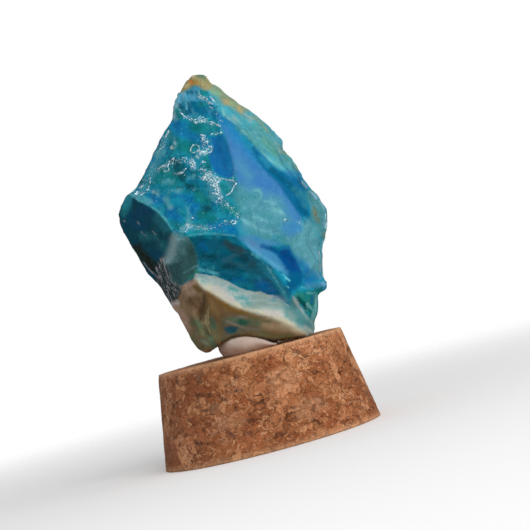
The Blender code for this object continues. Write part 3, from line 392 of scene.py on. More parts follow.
    "knee_aqua": (0.35, 0.4, (136, 156, 138), (116, 142, 124), (
        (0.25, -8.6, 4.7, -7.9, 4.4, -7.4, 3.8), (0.08, -9, 6.4, -8.9, 5.8))),
    "knee_specks": (0.15, 0.4, (46, 38, 24), (54, 48, 34), (
        (0.12, -7.1, 5.7, -6.9, 5.5), (0.12, -8.5, 3.5, -8.2, 3.2), (0.12, -7.9, 10, -7.6, 9.9))),
    # Painted shadow down the crease.
    "crease_shade": (0.65, 0.25, (46, 34, 14), (60, 46, 22), (
        (0.14, -5.9, 12.9, -6.3, 11.6, -7, 10.2, -7.5, 8.7),)),
    "crease_pale": (0.2, 0.2, (180, 168, 132), (160, 148, 112), (
        (0.12, -5.3, 10.7, -6, 9.6), (0.12, -5.6, 9.7, -6, 8.7, -6.3, 7.6), (0.12, -6.5, 9.2, -6.9, 7.6),
        (0.06, -6.7, 7.4, -6.4, 5.6))),
    # Painted shade: a dark line along the foot's lower edge over the putty and the cork.
    "sole_shade": (0.3, 0.4, (54, 46, 22), (66, 58, 34), (
        (0.2, -4.6, 3.4, -2, 3.9, 0.4, 3.5, 3.2, 2.2, 5.6, 1.4, 8, 1.2, 11, 0.8),)),
    "olive": (0.6, 0.4, (112, 142, 120), (128, 140, 112), (
        (5, 56, 5.2, 52.6, 5.8, 50.9, 6.6, 50.2, 6.9, 49.2, 7.5, 48.2, 8.6, 47.4, 9.6, 46.2, 10.4, 45.6,
         11.4, 45.6, 14, 45.4, 8, 54),)),
    "olive_tan": (0.5, 0.5, (166, 154, 106), (158, 152, 112), (
        (0.4, 7.9, 48.6, 9.2, 47.8), (0.35, 10, 46.9, 10.4, 46), (0.3, 5.4, 52.5, 5.6, 51.8))),
    "olive_green": (0.5, 0.5, (112, 166, 130), (120, 164, 132), (
        (0.4, 6, 51, 7, 50.2), (0.25, 9, 48, 9.6, 47.6))),
    "tip": (0.4, 0.2, (150, 145, 104), (132, 130, 90), (
        (-1, 52.7, 0.4, 52.4, 1.8, 52.7, 2.8, 53, 3.6, 52.7, 4, 52.1, 4.6, 51.7, 5.2, 51.5, 5.8, 51.9,
         6.6, 52.8, 6, 57, -1, 57),)),
    "tip_gold": (0.5, 0.3, (172, 138, 62), (158, 126, 54), (
        (0.35, 2.6, 53.8, 3.5, 53.4),)),
    "tip_pale": (0.3, 0.3, (184, 170, 122), (172, 158, 110), (
        (0.2, 1.2, 53.3, 1.9, 53.5), (0.1, 4.4, 52.9, 4.6, 52.6), (0.08, 3.4, 53.2, 3.8, 53.2),
        (0.15, 2.9, 54.6, 3.4, 54.7))),
    "tip_brown": (0.12, 0.2, (96, 82, 42), (116, 98, 48), (
        (0.07, 2.85, 54, 2.9, 53.4), (0.1, 4.2, 52.5, 4.5, 52.2), (0.07, 3.9, 53.4, 4.2, 53),
        (0.07, 4.75, 53.2, 4.8, 52.4), (0.06, 3.3, 54, 3.4, 53.6), (0.05, 1.9, 53.4, 2.1, 53))),
    "tip_orange": (0.25, 0.25, (208, 112, 46), (190, 112, 42), (
        (0.22, 2.1, 54, 2.6, 53.7),)),
    "tip_green": (0.35, 0.3, (84, 112, 92), (72, 118, 98), (
        (0.25, 3.9, 54.8, 4.9, 54.4, 5.1, 53.9),)),
}

# The thin edges of flakes and little rings on the show side, seen as above. They are raised in the mesh and
# painted with white glints.
LIPS = (
    (-1.1, 48.6, -0.8, 48.2, -0.3, 47.4, 0.1, 46.9, 0.6, 46.5, 1.1, 46.1, 1.6, 45.9),
    (0.6, 46.9, 1.1, 46.5, 1.7, 46.5, 2.1, 46.8, 2.5, 46.9),
    (1.2, 46.2, 1.7, 46.1, 2.2, 46.4, 2.7, 46.6, 3, 46.5),
    (2, 46, 2.5, 46.1, 3, 46.3, 3.4, 46.2, 3.7, 46),
    (2.3, 45.7, 2.8, 45.8, 3.2, 45.9, 3.5, 45.7, 3.8, 45.4, 4.3, 45.4, 4.5, 45.1),
    (3.9, 44.9, 4.4, 44.8, 4.8, 44.9, 5.3, 44.5, 5.6, 44),
    (1.5, 43.3, 2, 43.2, 2.4, 42.9, 1.8, 42.8, 1.6, 42.3, 2, 42.2),
    (2.2, 41.9, 2.6, 41.7, 2.3, 41.3, 1.6, 41.4),
    (2.4, 40.8, 2.9, 40.9, 3.1, 40.4, 2.9, 39.9, 2.4, 39.7, 1.8, 39.6, 1.2, 39.9),
    (-1.1, 40.9, -1, 41.4, -0.5, 41.8, 0.1, 41.8, 0.6, 41.5, 0.8, 41, 0.5, 40.6, 0, 40.4, -0.7, 40.4,
     -1.1, 40.9), (0.3, 40.6, 0.8, 40.2, 1.4, 40.1, 0.9, 39.7, 0.4, 40.1),
    (-8.2, 39.1, -7.6, 39.3, -7, 39.6, -6.7, 39.2),
    (-7.1, 38.5, -6.7, 38.2, -6.2, 38.4, -6.3, 38.9, -6, 39.4, -5.6, 39.9, -5.1, 40.2, -4.4, 40.4),
    (-5.2, 39.4, -5, 39.8, -4.6, 40.1), (-3, 40, -2.6, 39.8, -2.2, 39.7),
    (-1.9, 38.8, -1.6, 38.4, -1.3, 38, -1.6, 37.5, -1.9, 37.9),
    (-1.2, 39.2, -1, 38.7, -0.9, 38.2, -1.2, 37.4), (-3.3, 37.6, -3, 37.8, -2.8, 37.8),
    (0.4, 38.1, 0.7, 38.3, 1.1, 38), (-12.6, 36.3, -12.1, 36.5, -11.6, 36.6),
    (-11.4, 35.7, -11, 35.9, -10.7, 36.3), (-10.3, 36.8, -10.3, 37.3, -10.1, 37.8),
    (-0.3, 37, 0.2, 36.8, 0.5, 36.5, 0.9, 36.6), (0.9, 35.9, 1.3, 36.1, 1.8, 35.7, 1.4, 35.4),
    (-0.8, 35.6, -0.5, 35.2, -0.2, 34.7, 0.2, 35.3, 0.7, 35.5, 1.1, 35.2, 0.8, 34.8, 1.3, 34.5),
    (1.6, 34.9, 2.1, 34.6, 2.7, 34.3, 3.3, 34.1, 3.9, 33.8, 4.6, 33.6, 5.3, 33.4),
    (1.4, 34.2, 1.9, 33.9, 2.5, 34, 3, 33.7, 2.4, 33.5, 2, 33.1),
    (1, 33.4, 1.5, 33.1, 1.9, 32.6, 1.5, 32.3, 2, 32, 2.5, 31.9),
    (0.9, 31.8, 1.4, 31.5, 1.8, 31.1, 2.1, 30.8, 1.7, 30.6, 2.1, 30.2, 2.5, 29.9),
    (5.3, 33.5, 5.7, 33, 5.8, 32.5, 5.3, 32.2, 5, 31.8, 4.6, 31.3, 4.1, 31, 3.4, 30.8),
    (3, 29.3, 3.2, 29.1, 3.1, 28.9, 2.9, 29.1),
    (2.9, 25.4, 3.2, 25.7, 3.7, 25.6, 3.9, 25.2, 3.6, 24.9, 3.1, 25), (1.8, 26, 2.2, 25.8),
    (-3.4, 26.3, -3, 26.2), (-2.5, 25.8, -2.2, 25.5), (-4.2, 28.2, -4, 28.4, -3.8, 28.2),
    (-6.2, 26, -5.7, 26.4), (3.2, 51.2, 3.6, 50.8, 4, 50.4, 4.4, 50.1, 4.6, 49.7),
    (4.7, 49.2, 5, 49.2, 5.1, 48.9, 4.8, 48.8), (4.6, 48.3, 4.9, 48.1, 5.2, 47.8),
    (5.2, 50.1, 5.5, 49.6, 5.9, 49), (-5.6, 44.4, -5.1, 44.9, -4.6, 45.4, -4.2, 45.8),
    (-6.8, 42.7, -6.2, 42.9, -5.8, 43.1, -5.5, 43.5), (3.6, 43, 3.8, 43.1, 3.9, 42.9),
    (4.2, 42.7, 4.6, 42.7, 5.2, 42.6, 5.7, 42.9), (13, 23.2, 13.3, 23.4, 13.5, 23.1),
    (20.5, 19.6, 20.9, 20.8, 21, 22.4),
)

# Where pale crumbs, painted with white glints, lie thickly between those edges.
CRUMBS_AND_GLINTS = (
    (-0.8, 35.6, 0.6, 35.9, 1.8, 35.9, 2.7, 34.5, 3.4, 34, 2.6, 33.2, 2.5, 31.6, 2.6, 30, 1.9, 30.2,
     1.2, 31.4, 1.1, 33, 0.2, 34.4), (-1.9, 39.2, -1.1, 39.5, -0.8, 38.2, -1.2, 37, -2, 37.4),
    (0.1, 40.6, 1.2, 40.4, 2.6, 41, 3, 40.2, 1.6, 39.4, 0.3, 39.4),
    (1.5, 43.2, 2.3, 43.2, 1.9, 42.4, 2.6, 41.8, 1.8, 41.4, 1.4, 42.2),
    (2.9, 51, 3.6, 50.9, 4.6, 49.9, 4.2, 49.7, 3.1, 50.2),
    (-5.8, 26.8, -5, 27.2, -4.5, 26.7, -4.9, 26.1, -5.6, 26.1),
)

# Where fine pale specks are strewn, as patch strokes, partly mineral grains and partly painted glints.
DUST_AND_GLINTS = (
    (0.5, -12.6, 36.4, -10.4, 38.4, -8.6, 40.8, -6.6, 43.2, -4.2, 46),
    (0.7, -8.6, 39, -5, 39.8, -1.6, 39.2), (0.6, -1.4, 38.8, 0.2, 36.6, 1.6, 35.4),
    (0.9, 1.6, 35, 2, 30, 3.2, 28.4), (0.6, 0.8, 40.4, 2.6, 41.6, 1.8, 43.2),
    (0.6, -8, 26.2, -5.2, 26.8, -2, 25.4, 1.4, 25.6, 3.8, 25), (0.8, 3, 29, 4.6, 26.4),
    (0.4, -1, 48.2, 1.4, 46.2, 5.4, 44.4), (0.4, 3.4, 43, 5.8, 42.8), (0.5, 3.2, 50.8, 5, 48.8),
    (0.5, 5, 31.4, 5.6, 34.2, 6.2, 35.6), (0.4, 5.6, 47.4, 6, 44.8), (0.4, 15.8, 22, 16.4, 21),
)

# Marks on the front of the cork, seen as above with heights below the cork's top: softness, strength,
# colour, and shapes.
CORK_MARKS = {
    "grain_light": (0.9, 0.6, (194, 140, 102), (
        (1.6, -4.6, 4.6, -4, 8.2, -4.8, 8.6, -7.2, 5.6, -8.6, 2.4, -7.6),
        (-10.2, -11.2, -7.6, -10, -4.4, -10.6, -3.8, -12.6, -6.6, -13.8, -9.4, -13),
        (5.2, -12.2, 7.8, -10.6, 10.8, -11.6, 11, -14.2, 8.2, -15.8, 5.6, -14.4))),
    "grain_warm": (0.5, 0.6, (176, 100, 66), (
        (0.5, 12.8, -4.4, 14.6, -4.8), (0.4, -19.2, -12.6, -18.4, -14.4), (0.3, 16.6, -0.9, 18, -1.1))),
    "grain_dark": (0.35, 0.85, (84, 50, 36), (
        (0.35, -8.2, -13.4, -7.4, -14.2), (0.25, -4.6, -14.7, -3.6, -14.8), (0.5, 1.4, -16.7, 1.8, -16.9),
        (0.25, -4, -3.8, -3.2, -3.9), (0.35, -12, -5.4, -9.8, -5.8), (0.25, -11.4, -8.4, -10.6, -8.6),
        (0.3, -7.4, -7.4, -6.6, -7.6), (0.25, -14.6, -14, -13.8, -14.6), (0.3, 9, -14.4, 9.4, -13))),
    "grain_plum": (0.3, 0.7, (92, 62, 68), (
        (0.25, -5.4, -6.4, -3.4, -6.6), (0.3, -7.8, -14.4, -6.9, -14.9), (0.2, -4.4, -14.9, -3.6, -15.1))),
}

# Shell-shaped ripples on the back: the blow's place in millimetres, and where they start and how far
# they run.
RIPPLES = (
    ((-16, 6, 60), 5, 12), ((19, 6, 44), 4, 10), ((2, 14, 22), 5, 11),
)

# The outlines of the lumpy broken front and of the ribbed brow above it, seen as above.
BUMPY = (
    -14.6, 36.6, -12.9, 33.9, -10.2, 31, -8.6, 27, -8.2, 26, -3, 24.4, 2.6, 23.2, 4.4, 24.4, 4.8, 29,
    5.9, 33.4, 6, 38, 6, 45.6, 7.2, 47, 7.6, 48.6, 5.6, 56, -4, 54,
)
BROW = (
    -3.2, 48, -1, 48.6, 0.4, 46.9, 3.4, 46.2, 5.4, 44.8, 6.4, 46.4, 5, 49, 3.8, 52.2, 2, 55.6, -3, 54,
)

# Creases and narrow ridges: how deep in millimetres, negative for a ridge, how wide, and a line seen as
# above.
CREASES = (
    (0.22, 0.5, (-6, 13, -6.3, 11.8, -6.8, 10.6, -7.3, 9.4, -7.6, 8)),
    (-0.3, 0.3, (-4.9, 10.4, -5.8, 9, -6.5, 7.6, -6.8, 6.6)),
    (0.25, 0.3, (-6.4, 9, -6.9, 7.6, -6.9, 6, -6.6, 4.8)),
    (-0.25, 0.3, (-11.4, 22.2, -11.6, 20.6, -11.5, 18.8, -11.2, 17.4, -10.2, 16.4, -9.2, 15.8)),
    (0.3, 0.35, (-12.3, 21, -12.4, 19, -12.2, 17.2, -11.8, 15.6, -10.8, 13.2)),
    (-0.25, 0.3, (-13.2, 20.6, -13.2, 18.6, -12.7, 16.8, -12, 15.2, -11.4, 13.6)),
    (0.2, 0.5, (8.3, 18.6, 10.6, 17.4, 12, 15.2, 13, 12.4)),
    (0.3, 0.4, (12.3, 34.4, 13.8, 32.4, 15.4, 30.2, 16.8, 27.4, 17.4, 24.6)),
)


def clear_scene_extras():
    """Blender's own starting objects go, and the frame stays."""
    kept = set(frame["nodes"].values()) | set(frame["bodies"].values())
    for obj in list(bpy.data.objects):
        if obj not in kept:
            bpy.data.objects.remove(obj)


def linear(rgb):
    """A shader colour from a screen colour of 0 to 255."""
    parts = [c / 255 for c in rgb]
    return (*[c / 12.92 if c <= 0.04045 else ((c + 0.055) / 1.055) ** 2.4 for c in parts], 1.0)


class Nodes:
    """A new material whose nodes are added by short calls, each of which returns an output socket."""

    def __init__(self, name):
        self.material = bpy.data.materials.new(name)
        self.material.use_nodes = True
        self.tree = self.material.node_tree
        self.shader = self.tree.nodes["Principled BSDF"]
        place = self.add("TexCoord", out="Object")
        self.mm = self.add("VectorMath", {0: place, "Scale": 1 / MM}, operation="SCALE")

    def feed(self, socket, value):
        if isinstance(value, bpy.types.NodeSocket):
            self.tree.links.new(value, socket)
        else:
            socket.default_value = value

    def add(self, kind, values=None, out=0, **settings):
        node = self.tree.nodes.new("ShaderNode" + kind)
        for name, value in settings.items():
            setattr(node, name, value)
        for name, value in (values or {}).items():
            self.feed(node.inputs[name], value)
        return node.outputs[out]

    def set(self, **values):
        for name, value in values.items():
            self.feed(self.shader.inputs[name.replace("_", " ")], value)

    def clouds(self, size, detail=3.0, roughness=0.55, distortion=0.0, at=None, out="Fac"):
        values = {"Vector": at or self.mm, "Scale": 1 / size, "Detail": detail, "Roughness": roughness}
        return self.add("TexNoise", {**values, "Distortion": distortion}, out=out)

    def swing(self, *cloud):
        """Clouds that swing about 0."""
        return self.math("SUBTRACT", self.clouds(*cloud), 0.5)

    def warped(self, *cloud):
        """The place in millimetres, pushed about by clouds, by up to 1.5 either way."""
        colour = self.clouds(*cloud, out="Color")
        push = self.add("VectorMath", {0: colour, 1: (0.5, 0.5, 0.5)}, operation="SUBTRACT")
        push = self.add("VectorMath", {0: push, "Scale": 3.0}, operation="SCALE")
        return self.add("VectorMath", {0: self.mm, 1: push}, operation="ADD")

    def math(self, operation, a, b=0.0, clamp=False):
        return self.add("Math", {0: a, 1: b}, operation=operation, use_clamp=clamp)

    def times(self, *factors):
        return reduce(lambda a, b: self.math("MULTIPLY", a, b), factors)

    def most(self, *values):
        return reduce(lambda a, b: self.math("MAXIMUM", a, b), values)

    def rest(self, value):
        return self.math("SUBTRACT", 1.0, value)

    def between(self, value, low, high, to_low=0.0, to_high=1.0):
        """Rises smoothly from to_low to to_high as the value goes from low to high."""
        values = {"Value": value, "From Min": low, "From Max": high, "To Min": to_low, "To Max": to_high}
        return self.add("MapRange", values, interpolation_type="SMOOTHSTEP")

    def mix(self, factor, a, b, blend="MIX"):
        """Mixes two colours, each a socket or three screen values of 0 to 255."""
        node = self.tree.nodes.new("ShaderNodeMix")
        node.data_type = "RGBA"
        node.blend_type = blend
        for socket, value in ((0, factor), (6, a), (7, b)):
            self.feed(node.inputs[socket], linear(value) if isinstance(value, tuple) else value)
        return node.outputs[2]

    def toned(self, colour, cloud, *tones, mask=None):
        """The colour with tones laid over it. Each has where in the cloud it starts and is full, how
        strong it is, and its own colour. All of them keep to the mask."""
        for start, full, strength, rgb in tones:
            amount = self.between(cloud, start, full, 0.0, strength)
            colour = self.mix(self.times(amount, mask) if mask else amount, colour, rgb)
        return colour

    def attribute(self, name):
        return self.add("Attribute", out="Fac", attribute_name=name)

    def mapped(self, at, turn_deg, scale=(1, 1, 1)):
        turn = Euler([math.radians(a) for a in turn_deg])
        return self.add("Mapping", {"Vector": at, "Rotation": turn, "Scale": scale})

    def bump(self, height, depth_mm):
        return self.add("Bump", {"Height": height, "Distance": depth_mm * MM, "Strength": 1.0})


def new_object(name, data):
    made = bpy.data.objects.new(name, data)
    bpy.context.scene.collection.objects.link(made)
    return made


def mesh_object(name, bm):
    """A new object with the bmesh, which is freed."""
    mesh = bpy.data.meshes.new(name)
    bm.to_mesh(mesh)
    bm.free()
    return new_object(name, mesh)


def fine_copy(node, name, voxel_mm):
    """A copy of a CAD node with an even mesh of small faces."""
    made = new_object(name, frame["nodes"][node].data.copy())
    made.data.materials.clear()
    remesh = made.modifiers.new("fine", "REMESH")
    remesh.mode = "VOXEL"
    remesh.voxel_size = voxel_mm * MM
    graph = bpy.context.evaluated_depsgraph_get()
    mesh = bpy.data.meshes.new_from_object(made.evaluated_get(graph))
    made.modifiers.clear()
    made.data = mesh
    return made


def points_of(obj):
    """The vertices in millimetres."""
    co = np.empty(len(obj.data.vertices) * 3)
    obj.data.vertices.foreach_get("co", co)
    return co.reshape(-1, 3) / MM


def set_points(obj, points):
    obj.data.vertices.foreach_set("co", (points * MM).ravel())
    obj.data.update()


def normals_of(obj):
    out = np.empty(len(obj.data.vertices) * 3)
    obj.data.vertex_normals.foreach_get("vector", out)
    return out.reshape(-1, 3)


def relaxed(obj, points, steps):
    """The points after each has moved halfway to the middle of its neighbours, a number of times."""
    edges = np.empty(len(obj.data.edges) * 2, int)
    obj.data.edges.foreach_get("vertices", edges)
    a, b = edges.reshape(-1, 2).T
    count = np.bincount(a, minlength=len(points)) + np.bincount(b, minlength=len(points))
    for _ in range(steps):
        total = np.empty_like(points)
        for k in range(3):
            total[:, k] = np.bincount(a, points[b, k], len(points))
            total[:, k] += np.bincount(b, points[a, k], len(points))
        points = (points + total / count[:, None]) / 2
    return points


def clouds(points, size, seed=0.0):
    """Smooth noise from about -1 to 1, with lumps of a size in millimetres."""
    shift = Vector((seed, seed * 1.7, -seed * 2.3))
    return np.array([noise.noise(Vector(p) + shift) for p in (points / size).tolist()])


def as_seen(points):
    """Where points look to be from EYE, on the plane y = 0: x, and the height over the cork."""
    nearer = (points[:, 1] - EYE[1]) / -EYE[1]
    u = EYE[0] + (points[:, 0] - EYE[0]) / nearer
    v = EYE[2] + (points[:, 2] - EYE[2]) / nearer - CORK_TOP
    return np.stack([u, v], 1)


def line_distance(seen, line):
    """How far each seen point is from a line, given as x and height in turn."""
    best = np.full(len(seen), np.inf)
    points = np.reshape(line, (-1, 2))
    for a, b in zip(points, points[1:]):
        step = b - a
        t = np.clip(((seen - a) @ step) / (step @ step), 0, 1)
        best = np.minimum(best, np.hypot(*(seen - a - t[:, None] * step).T))
    return best


def patch_distance(seen, corners):
    """How far each seen point is from a closed outline, negative inside it."""
    closed = np.reshape([*corners, *corners[:2]], (-1, 2))
    d = line_distance(seen, closed)
    x, z = seen.T
    inside = np.zeros(len(seen), bool)
    for (ax, az), (bx, bz) in zip(closed, closed[1:]):
        if az != bz:
            inside ^= ((az > z) != (bz > z)) & (x < (bx - ax) * (z - az) / (bz - az) + ax)
    return np.where(inside, -d, d)


def shapes_distance(seen, shapes):
    """How far each seen point is from the nearest of some strokes and areas, negative inside."""
    found = []
    for shape in shapes:
        if len(shape) % 2:
            found.append(line_distance(seen, shape[1:]) - shape[0])
        else:
            found.append(patch_distance(seen, shape))
    return np.min(found, axis=0)


def rise(value, low, high):
    """0 below low, 1 above high, and smooth between."""
    t = np.clip((value - low) / (high - low), 0, 1)
    return t * t * (3 - 2 * t)


def bell(distance, width):
    return np.exp(-((distance / width) ** 2))


def store(obj, name, values):
    layer = obj.data.attributes.new(name, "FLOAT", "POINT")
    layer.data.foreach_set("value", values.astype(np.float32))


def refine_near(obj, chosen, cuts):
    """Splits the faces whose corners are all chosen."""
    bm = bmesh.new()
    bm.from_mesh(obj.data)
    bm.verts.ensure_lookup_table()
    faces = [f for f in bm.faces if all(chosen[v.index] for v in f.verts)]
    edges = list({e for f in faces for e in f.edges})
    bmesh.ops.subdivide_edges(bm, edges=edges, cuts=cuts, use_grid_fill=True)
    big = [f for f in bm.faces if len(f.verts) > 4]
    bmesh.ops.triangulate(bm, faces=big)
    bm.to_mesh(obj.data)
    bm.free()


def lip_distance(seen):
    return np.min([line_distance(seen, line) for line in LIPS], axis=0)


def fine_distance(seen):
    """How far each seen point is from the marks that need the finest mesh."""
    thin = PATCHES["edge_lines"][-1] + PATCHES["cheek_streaks_and_glints"][-1]
    return np.minimum(lip_distance(seen), shapes_distance(seen, thin))


def facing_of(obj):
    """1 where the surface faces the show side, 0 where it doesn't."""
    return rise(-normals_of(obj)[:, 1], -0.05, 0.25)


def sharpened_stone():
    """The CAD stone with a fine mesh, finer at the thin marks. It is smoothed, and then its edges are
    pushed out again by at most 0.3 millimetres."""
    obj = fine_copy("opal", "opal_stone", STONE_MESH)
    smooth = relaxed(obj, points_of(obj), 3)
    push = smooth - relaxed(obj, smooth, 16)
    size = np.linalg.norm(push, axis=1, keepdims=True)
    points = smooth + push * np.minimum(1.5, 0.3 / np.maximum(size, 1e-6))
    set_points(obj, points)
    near = fine_distance(as_seen(points)) < FINE_WITHIN
    refine_near(obj, near & (facing_of(obj) > 0.1), 2)
    return obj


def front_relief(points, warped, lip, crumbs, bumpy, chip, brow):
    """How far the front's lumps, ribs, creases, flake edges and crumbs stand out, in millimetres."""
    lift = bumpy * (0.1 * clouds(points, 2.4, 4) + 0.08 * np.abs(clouds(points, 1.0, 5))) - 0.08 * chip
    lift += brow * 0.1 * clouds(points * (1, 1, 0.25) + 0.3 * clouds(points, 3, 8)[:, None], 0.7, 9)
    wobble = 0.6 + 0.6 * clouds(points, 0.5, 11)
    edges = 0.11 * wobble * bell(lip, 0.13)
    edges += rise(-crumbs, -0.2, 0.2) * 0.1 * np.abs(clouds(points, 0.35, 14))
    for depth, width, line in CREASES:
        edges -= depth * bell(line_distance(warped, line), width)
    return lift, edges


def back_relief(points):
    """How far the back's lumps and shell ripples stand out, in millimetres."""
    lift = 0.12 * clouds(points, 5.0, 12) + 0.08 * np.abs(clouds(points, 1.6, 13))
    for centre, start, length in RIPPLES:
        far = np.linalg.norm(points - centre, axis=1) + 0.5 * clouds(points, 6.0, 17)
        fade = rise(far, start, start + 2) * (1 - rise(far, start + length * 0.6, start + length))
        lift += fade * 0.07 * np.sin(far * 3.6)
    return lift


def store_stone_marks(obj, points, normals, lip, crumbs):
    """Stores how far each point is from each mark of the show side, and which side it is on."""
    seen = as_seen(points)
    turn = -normals[:, 1]
    shown = rise(turn + 0.25 * clouds(points, 3.0, 15) + 0.1 * clouds(points, 1.0, 16), -0.45, -0.2)
    away = HIDDEN * (1 - shown)
    past_edge = HIDDEN * (1 - rise(turn, -0.12, 0.0))
    for name, row in PATCHES.items():
        hidden = past_edge if name.startswith(("cheek", "fibres")) else away
        store(obj, name, np.clip(shapes_distance(seen, row[-1]), -6, 6) + hidden)
    # The lips, specks and crumbs also carry painted white glints.
    store(obj, "lip", np.clip(lip, 0, 3) + away)
    store(obj, "dust_and_glints", np.clip(shapes_distance(seen, DUST_AND_GLINTS), -3, 6) + away)
    store(obj, "crumbs", np.clip(crumbs, -3, 6) + away)
    store(obj, "shown", shown)


def make_stone():
    """The opal: the sharpened stone with its relief and its stored marks."""
    obj = sharpened_stone()
    points, normals, facing = points_of(obj), normals_of(obj), facing_of(obj)
    warped = as_seen(points) + 0.12 * np.stack([clouds(points, 0.8, 3), clouds(points, 0.8, 7)], 1)
    chip = rise(-patch_distance(warped, PATCHES["chip"][-1][0]), -0.1, 0.5) * facing
    bumpy = rise(-patch_distance(warped, BUMPY), -0.4, 0.6) * facing * (1 - chip)
    brow = rise(-patch_distance(warped, BROW), -0.2, 0.8) * facing
    lip = lip_distance(warped)
    crumbs = np.min([patch_distance(warped, area) for area in CRUMBS_AND_GLINTS], axis=0)
    lumps, edges = front_relief(points, warped, lip, crumbs, bumpy, chip, brow)
    lift = 0.2 * clouds(points, 4.5, 1) + 0.05 * clouds(points, 1.6, 2)
    lift += lumps + facing * edges + (1 - facing) * back_relief(points)
    moved = points + normals * lift[:, None]
    x, y, z = moved.T
    moved[:, 2] -= FOOT_DROP * rise(-z, -22.0, -19.2) * rise(x, 1.5, 4.5) * rise(-y, -8.0, -3.0)
    set_points(obj, moved)
    store_stone_marks(obj, points, normals, lip, crumbs)
    store(obj, "bumpy", bumpy)
    store(obj, "brow", brow)
    obj.data.shade_smooth()
    return obj


def stone_body(n, at):
    """Mottled blue-green, the ground of every side. Also gives the noise of its middle size."""
    big = n.between(n.clouds(7.0, 4.0, 0.6, 0.6, at), 0.4, 0.6)
    colour = n.mix(big, (8, 123, 158), (12, 136, 152))
    middle = n.between(n.clouds(2.6, 5.0, 0.62, 1.0, at), 0.42, 0.62)
    colour = n.mix(n.times(middle, 0.7), colour, (32, 144, 168))
    dark = n.between(n.clouds(3.4, 5.0, 0.6, 1.4, at), 0.5, 0.66)
    return n.mix(n.times(dark, 0.75), colour, (2, 86, 116)), middle


def stone_back(n, at, colour, middle):
    """Deep blue, milky veils, a pale zone and host rock on the back. Also gives where the host rock is."""
    behind = n.between(n.attribute("shown"), 1.0, 0.9)
    deep_blue = n.between(n.clouds(9.0, 4.0, 0.55, 0.4), 0.52, 0.6)
    colour = n.mix(n.times(behind, deep_blue, 0.8), colour, (4, 88, 148))
    milk = n.between(n.clouds(9.0, 5.0, 0.6, 0.7, n.mapped(at, (0.4, 0.9, 0.2))), 0.54, 0.62)
    colour = n.mix(n.times(milk, behind, 0.85), colour, n.mix(middle, (96, 162, 174), (128, 182, 186)))
    height = n.add("SeparateXYZ", {0: n.mm}, out="Z")
    level = n.math("ADD", height, n.times(n.swing(6.0, 5.0, 0.6), 26.0))
    pale = n.times(n.between(level, 37.0, 34.0), behind)
    colour = n.mix(pale, colour, n.mix(middle, (150, 178, 174), (182, 184, 168)))
    matrix = n.between(n.clouds(10.0, 5.0, 0.58, 0.5), 0.6, 0.62)
    rind = n.times(behind, n.most(matrix, n.between(level, 32.5, 31.0)))
    rock = n.mix(n.between(n.clouds(2.6, 5.0, 0.65), 0.38, 0.62), (112, 88, 54), (154, 134, 96))
    rock = n.mix(n.between(n.clouds(3.6, 4.0, 0.6, 0.6), 0.55, 0.62), rock, (70, 110, 94))
    return n.mix(rind, colour, rock), rind


def stone_patches(n, at, colour):
    """The show side's patches, among them painted highlights, glints and shade. Also gives where each one is.
    """
    ragged = n.math("ADD", n.swing(2.2, 4.0, 0.6), n.times(n.swing(0.6, 3.0, 0.6), 0.5))
    mingle = n.between(n.clouds(1.3, 4.0, 0.6, 0.8, at), 0.36, 0.64)
    masks = {}
    for name, (softness, raggedness, first, second, _) in PATCHES.items():
        edge = n.math("ADD", n.attribute(name), n.times(ragged, 2.2 * raggedness))
        masks[name] = n.between(edge, softness, -softness)
        colour = n.mix(masks[name], colour, n.mix(mingle, first, second))
    return colour, masks


def stone_textures(n, at, colour, most_of, on_brow, busy):
    """Ribs on the brow, mottling on the broken front, streaks in the recess and on the lower left,
    clouds and curls on the smooth right side, and dots on the pale band."""
    ribs = n.clouds(1.2, 3.0, 0.5, 0.0, n.mapped(n.mm, (0, 5, 0), (1.3, 0.7, 0.12)))
    light, dark = (0.52, 0.66, 0.3, (96, 168, 194)), (0.48, 0.36, 0.4, (0, 88, 120))
    colour = n.toned(colour, ribs, light, dark, mask=on_brow)
    colour = n.toned(colour, n.clouds(1.0, 5.0, 0.72, 0.6), (0.52, 0.64, 0.4, (34, 162, 184)), mask=busy)
    colour = n.toned(colour, n.clouds(1.2, 4.0, 0.7, 0.8, at), (0.54, 0.66, 0.5, (4, 82, 112)), mask=busy)
    streaks = n.clouds(1.0, 4.0, 0.6, 0.0, n.mapped(at, (0, -38, 0), (0.3, 1.2, 2.0)))
    in_recess = n.times(most_of("recess"), n.rest(most_of("band")))
    light, dark = (0.52, 0.68, 0.5, (10, 114, 138)), (0.46, 0.34, 0.45, (0, 60, 78))
    colour = n.toned(colour, streaks, light, dark, mask=in_recess)
    hairs = n.clouds(1.0, 3.0, 0.6, 0.3, n.mapped(n.mm, (0, 8, 0), (3.6, 1.5, 0.4)))
    in_fibres = n.times(most_of("fibres"), n.rest(most_of("foot", "glass_green")))
    light, dark = (0.53, 0.61, 0.8, (168, 166, 170)), (0.48, 0.4, 0.7, (18, 34, 38))
    colour = n.toned(colour, hairs, light, dark, mask=in_fibres)
    covered = most_of("tip", "olive", "groove", "blotch")
    cloudy = n.times(most_of("shallows", "flank", "rim", "bevel"), n.rest(covered))
    colour = n.toned(colour, n.clouds(1.7, 4.0, 0.6, 0.9), (0.5, 0.66, 0.32, (44, 122, 138)), mask=cloudy)
    curls = n.math("ABSOLUTE", n.swing(1.9, 3.0, 0.5, 0.8))
    colour = n.toned(colour, curls, (0.04, 0.008, 0.2, (126, 184, 192)), mask=cloudy)
    on_band = n.math("SUBTRACT", most_of("band"), most_of("face"), clamp=True)
    return n.toned(colour, n.clouds(0.8, 2.0, 0.5, 0.4), (0.61, 0.67, 0.4, (104, 160, 162)), mask=on_band)


